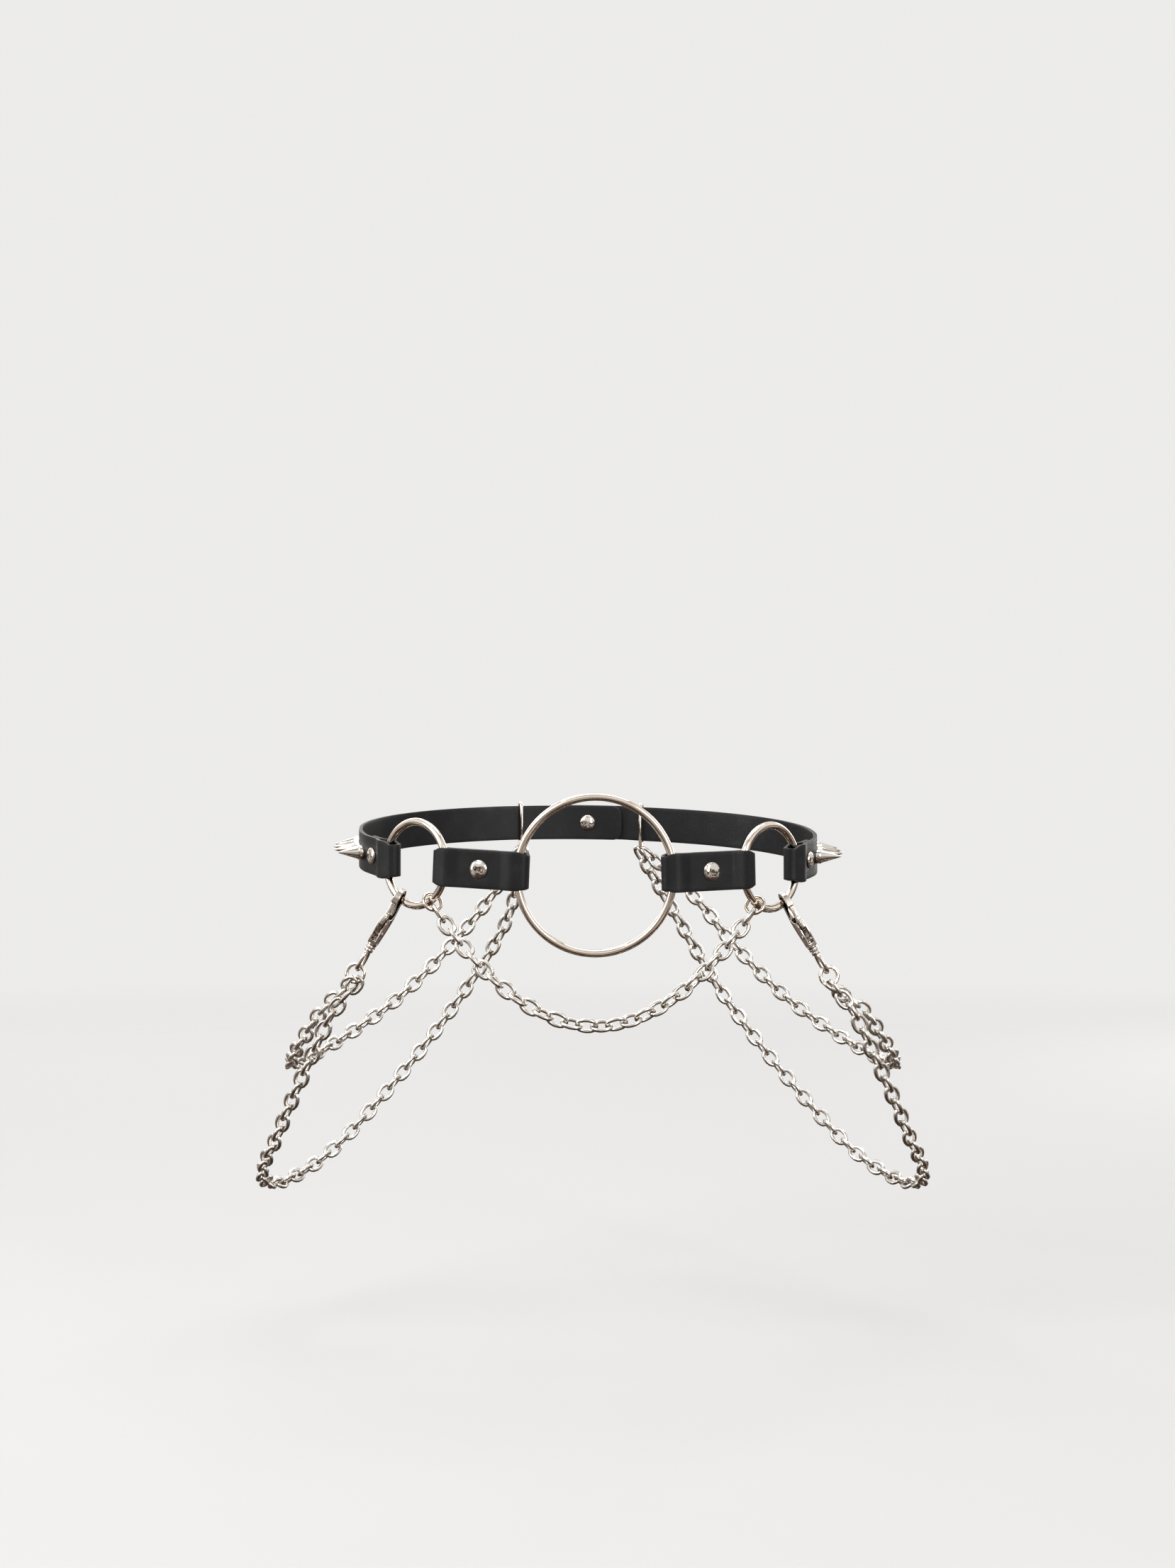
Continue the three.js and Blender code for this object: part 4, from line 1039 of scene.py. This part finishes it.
def studio_floor():
    """A pale floor that fades into the pale room far from the belt. Metal mirrors the room alone."""
    bm = bmesh.new()
    bmesh.ops.create_circle(bm, cap_ends=True, segments=96, radius=FLOOR_RADIUS)
    bmesh.ops.translate(bm, vec=(0, 0, FLOOR), verts=bm.verts)
    mesh = mesh_of(bm, "studio_floor")
    finish = Finish("studio_floor", Roughness=0.9, Base_Color=(0.60, 0.595, 0.59, 1))
    away = finish.node("ShaderNodeVectorMath", {"operation": "LENGTH"}, {0: finish.place}, "Value")
    finish.give("Alpha", 1 - away.between(*FLOOR_FADE))
    mesh.materials.append(finish.material)
    floor = bpy.data.objects.new("studio_floor", mesh)
    floor.visible_glossy = False
    bpy.context.collection.objects.link(floor)


def softbox(name, place, size, power, colour):
    """An area light in metres and watts, turned to the belt."""
    light = bpy.data.lights.new(name, "AREA")
    light.shape = "RECTANGLE"
    light.size, light.size_y = size
    light.energy = power
    light.color = colour
    lamp = bpy.data.objects.new(name, light)
    bpy.context.collection.objects.link(lamp)
    lamp.location = place
    lamp.rotation_euler = (-Vector(place)).to_track_quat("-Z", "Y").to_euler()


ROOM = [
    (0.00, (0.05, 0.032, 0.022)), (0.27, (0.10, 0.07, 0.055)), (0.395, (0.70, 0.65, 0.61)), (0.46, (0.06, 0.04, 0.03)),
    (0.512, (0.03, 0.02, 0.015)), (0.555, (0.86, 0.82, 0.785)), (0.84, (1.0, 0.99, 0.97)), (1.0, (0.30, 0.28, 0.26)),
]
ROOM_LIGHT = (0.44, 0.44, 0.44)
ROOM_CLUTTER = 1.5
ROOM_CLUTTER_SCALE = 2.6
ROOM_SEEN = (0.84, 0.835, 0.825)


def studio_air():
    """The room: pale where it is seen, with a broken dark band at eye height for the metal to mirror."""
    world = bpy.data.worlds.new("studio_air")
    bpy.context.scene.world = world
    world.use_nodes = True
    nodes, links = world.node_tree.nodes, world.node_tree.links
    back = nodes["Background"]
    where = nodes.new("ShaderNodeTexCoord")
    split = nodes.new("ShaderNodeSeparateXYZ")
    ramp = nodes.new("ShaderNodeValToRGB")
    path = nodes.new("ShaderNodeLightPath")
    lit, seen = (nodes.new("ShaderNodeMix") for _ in range(2))
    lit.data_type = seen.data_type = "RGBA"
    height = nodes.new("ShaderNodeMapRange")
    height.inputs["From Min"].default_value = -1
    stops = ramp.color_ramp.elements
    for position, colour in ROOM[1:-1]:
        stops.new(position)
    for stop, (position, colour) in zip(stops, ROOM):
        stop.position = position
        stop.color = (*colour, 1)
    links.new(where.outputs["Generated"], split.inputs[0])
    clutter = nodes.new("ShaderNodeTexNoise")
    clutter.inputs["Scale"].default_value = ROOM_CLUTTER_SCALE
    clutter.inputs["Detail"].default_value = 2
    links.new(where.outputs["Generated"], clutter.inputs["Vector"])
    lifted = nodes.new("ShaderNodeMath")
    lifted.operation = "MULTIPLY_ADD"
    lifted.inputs[1].default_value = ROOM_CLUTTER
    links.new(clutter.outputs["Fac"], lifted.inputs[0])
    links.new(split.outputs["Z"], lifted.inputs[2])
    level = nodes.new("ShaderNodeMath")
    level.operation = "SUBTRACT"
    level.inputs[1].default_value = ROOM_CLUTTER / 2
    links.new(lifted.outputs[0], level.inputs[0])
    links.new(level.outputs[0], height.inputs["Value"])
    links.new(height.outputs["Result"], ramp.inputs["Fac"])
    links.new(path.outputs["Is Diffuse Ray"], lit.inputs[0])
    links.new(ramp.outputs["Color"], lit.inputs[6])
    lit.inputs[7].default_value = (*ROOM_LIGHT, 1)
    links.new(path.outputs["Is Camera Ray"], seen.inputs[0])
    links.new(lit.outputs[2], seen.inputs[6])
    seen.inputs[7].default_value = (*ROOM_SEEN, 1)
    links.new(seen.outputs[2], back.inputs["Color"])


SOFTBOXES = [
    ("key", (-1.1, -1.2, 1.2), (0.8, 0.8), 17, (1, 0.985, 0.965)),
    ("strip", (0.85, -1.35, 0.5), (0.22, 1.1), 9, (1, 1, 1)),
    ("low", (-1.6, -0.5, 0.4), (0.3, 1.0), 6, (1, 1, 1)),
    ("top", (0, 0.2, 1.6), (1.5, 1.2), 14, (1, 1, 1)),
    ("back", (-0.7, 1.6, 0.8), (1.2, 0.8), 9, (1, 1, 1)),
    ("back strip", (1.1, 1.4, 0.5), (0.35, 1.1), 7, (1, 1, 1)),
]

studio_floor()
studio_air()
for light in SOFTBOXES:
    softbox(*light)
bpy.context.scene.view_settings.view_transform = "Standard"

lens = bpy.data.cameras.new("camera")
lens.sensor_fit = "VERTICAL"
lens.sensor_height = 36
lens.lens = FOCUS_PIXELS * lens.sensor_height / PHOTO_HEIGHT
camera = bpy.data.objects.new("camera", lens)
bpy.context.collection.objects.link(camera)
camera.location = (0, -CAMERA_BACK, CAMERA_HEIGHT)
camera.rotation_euler = (radians(90), 0, 0)
bpy.context.scene.camera = camera
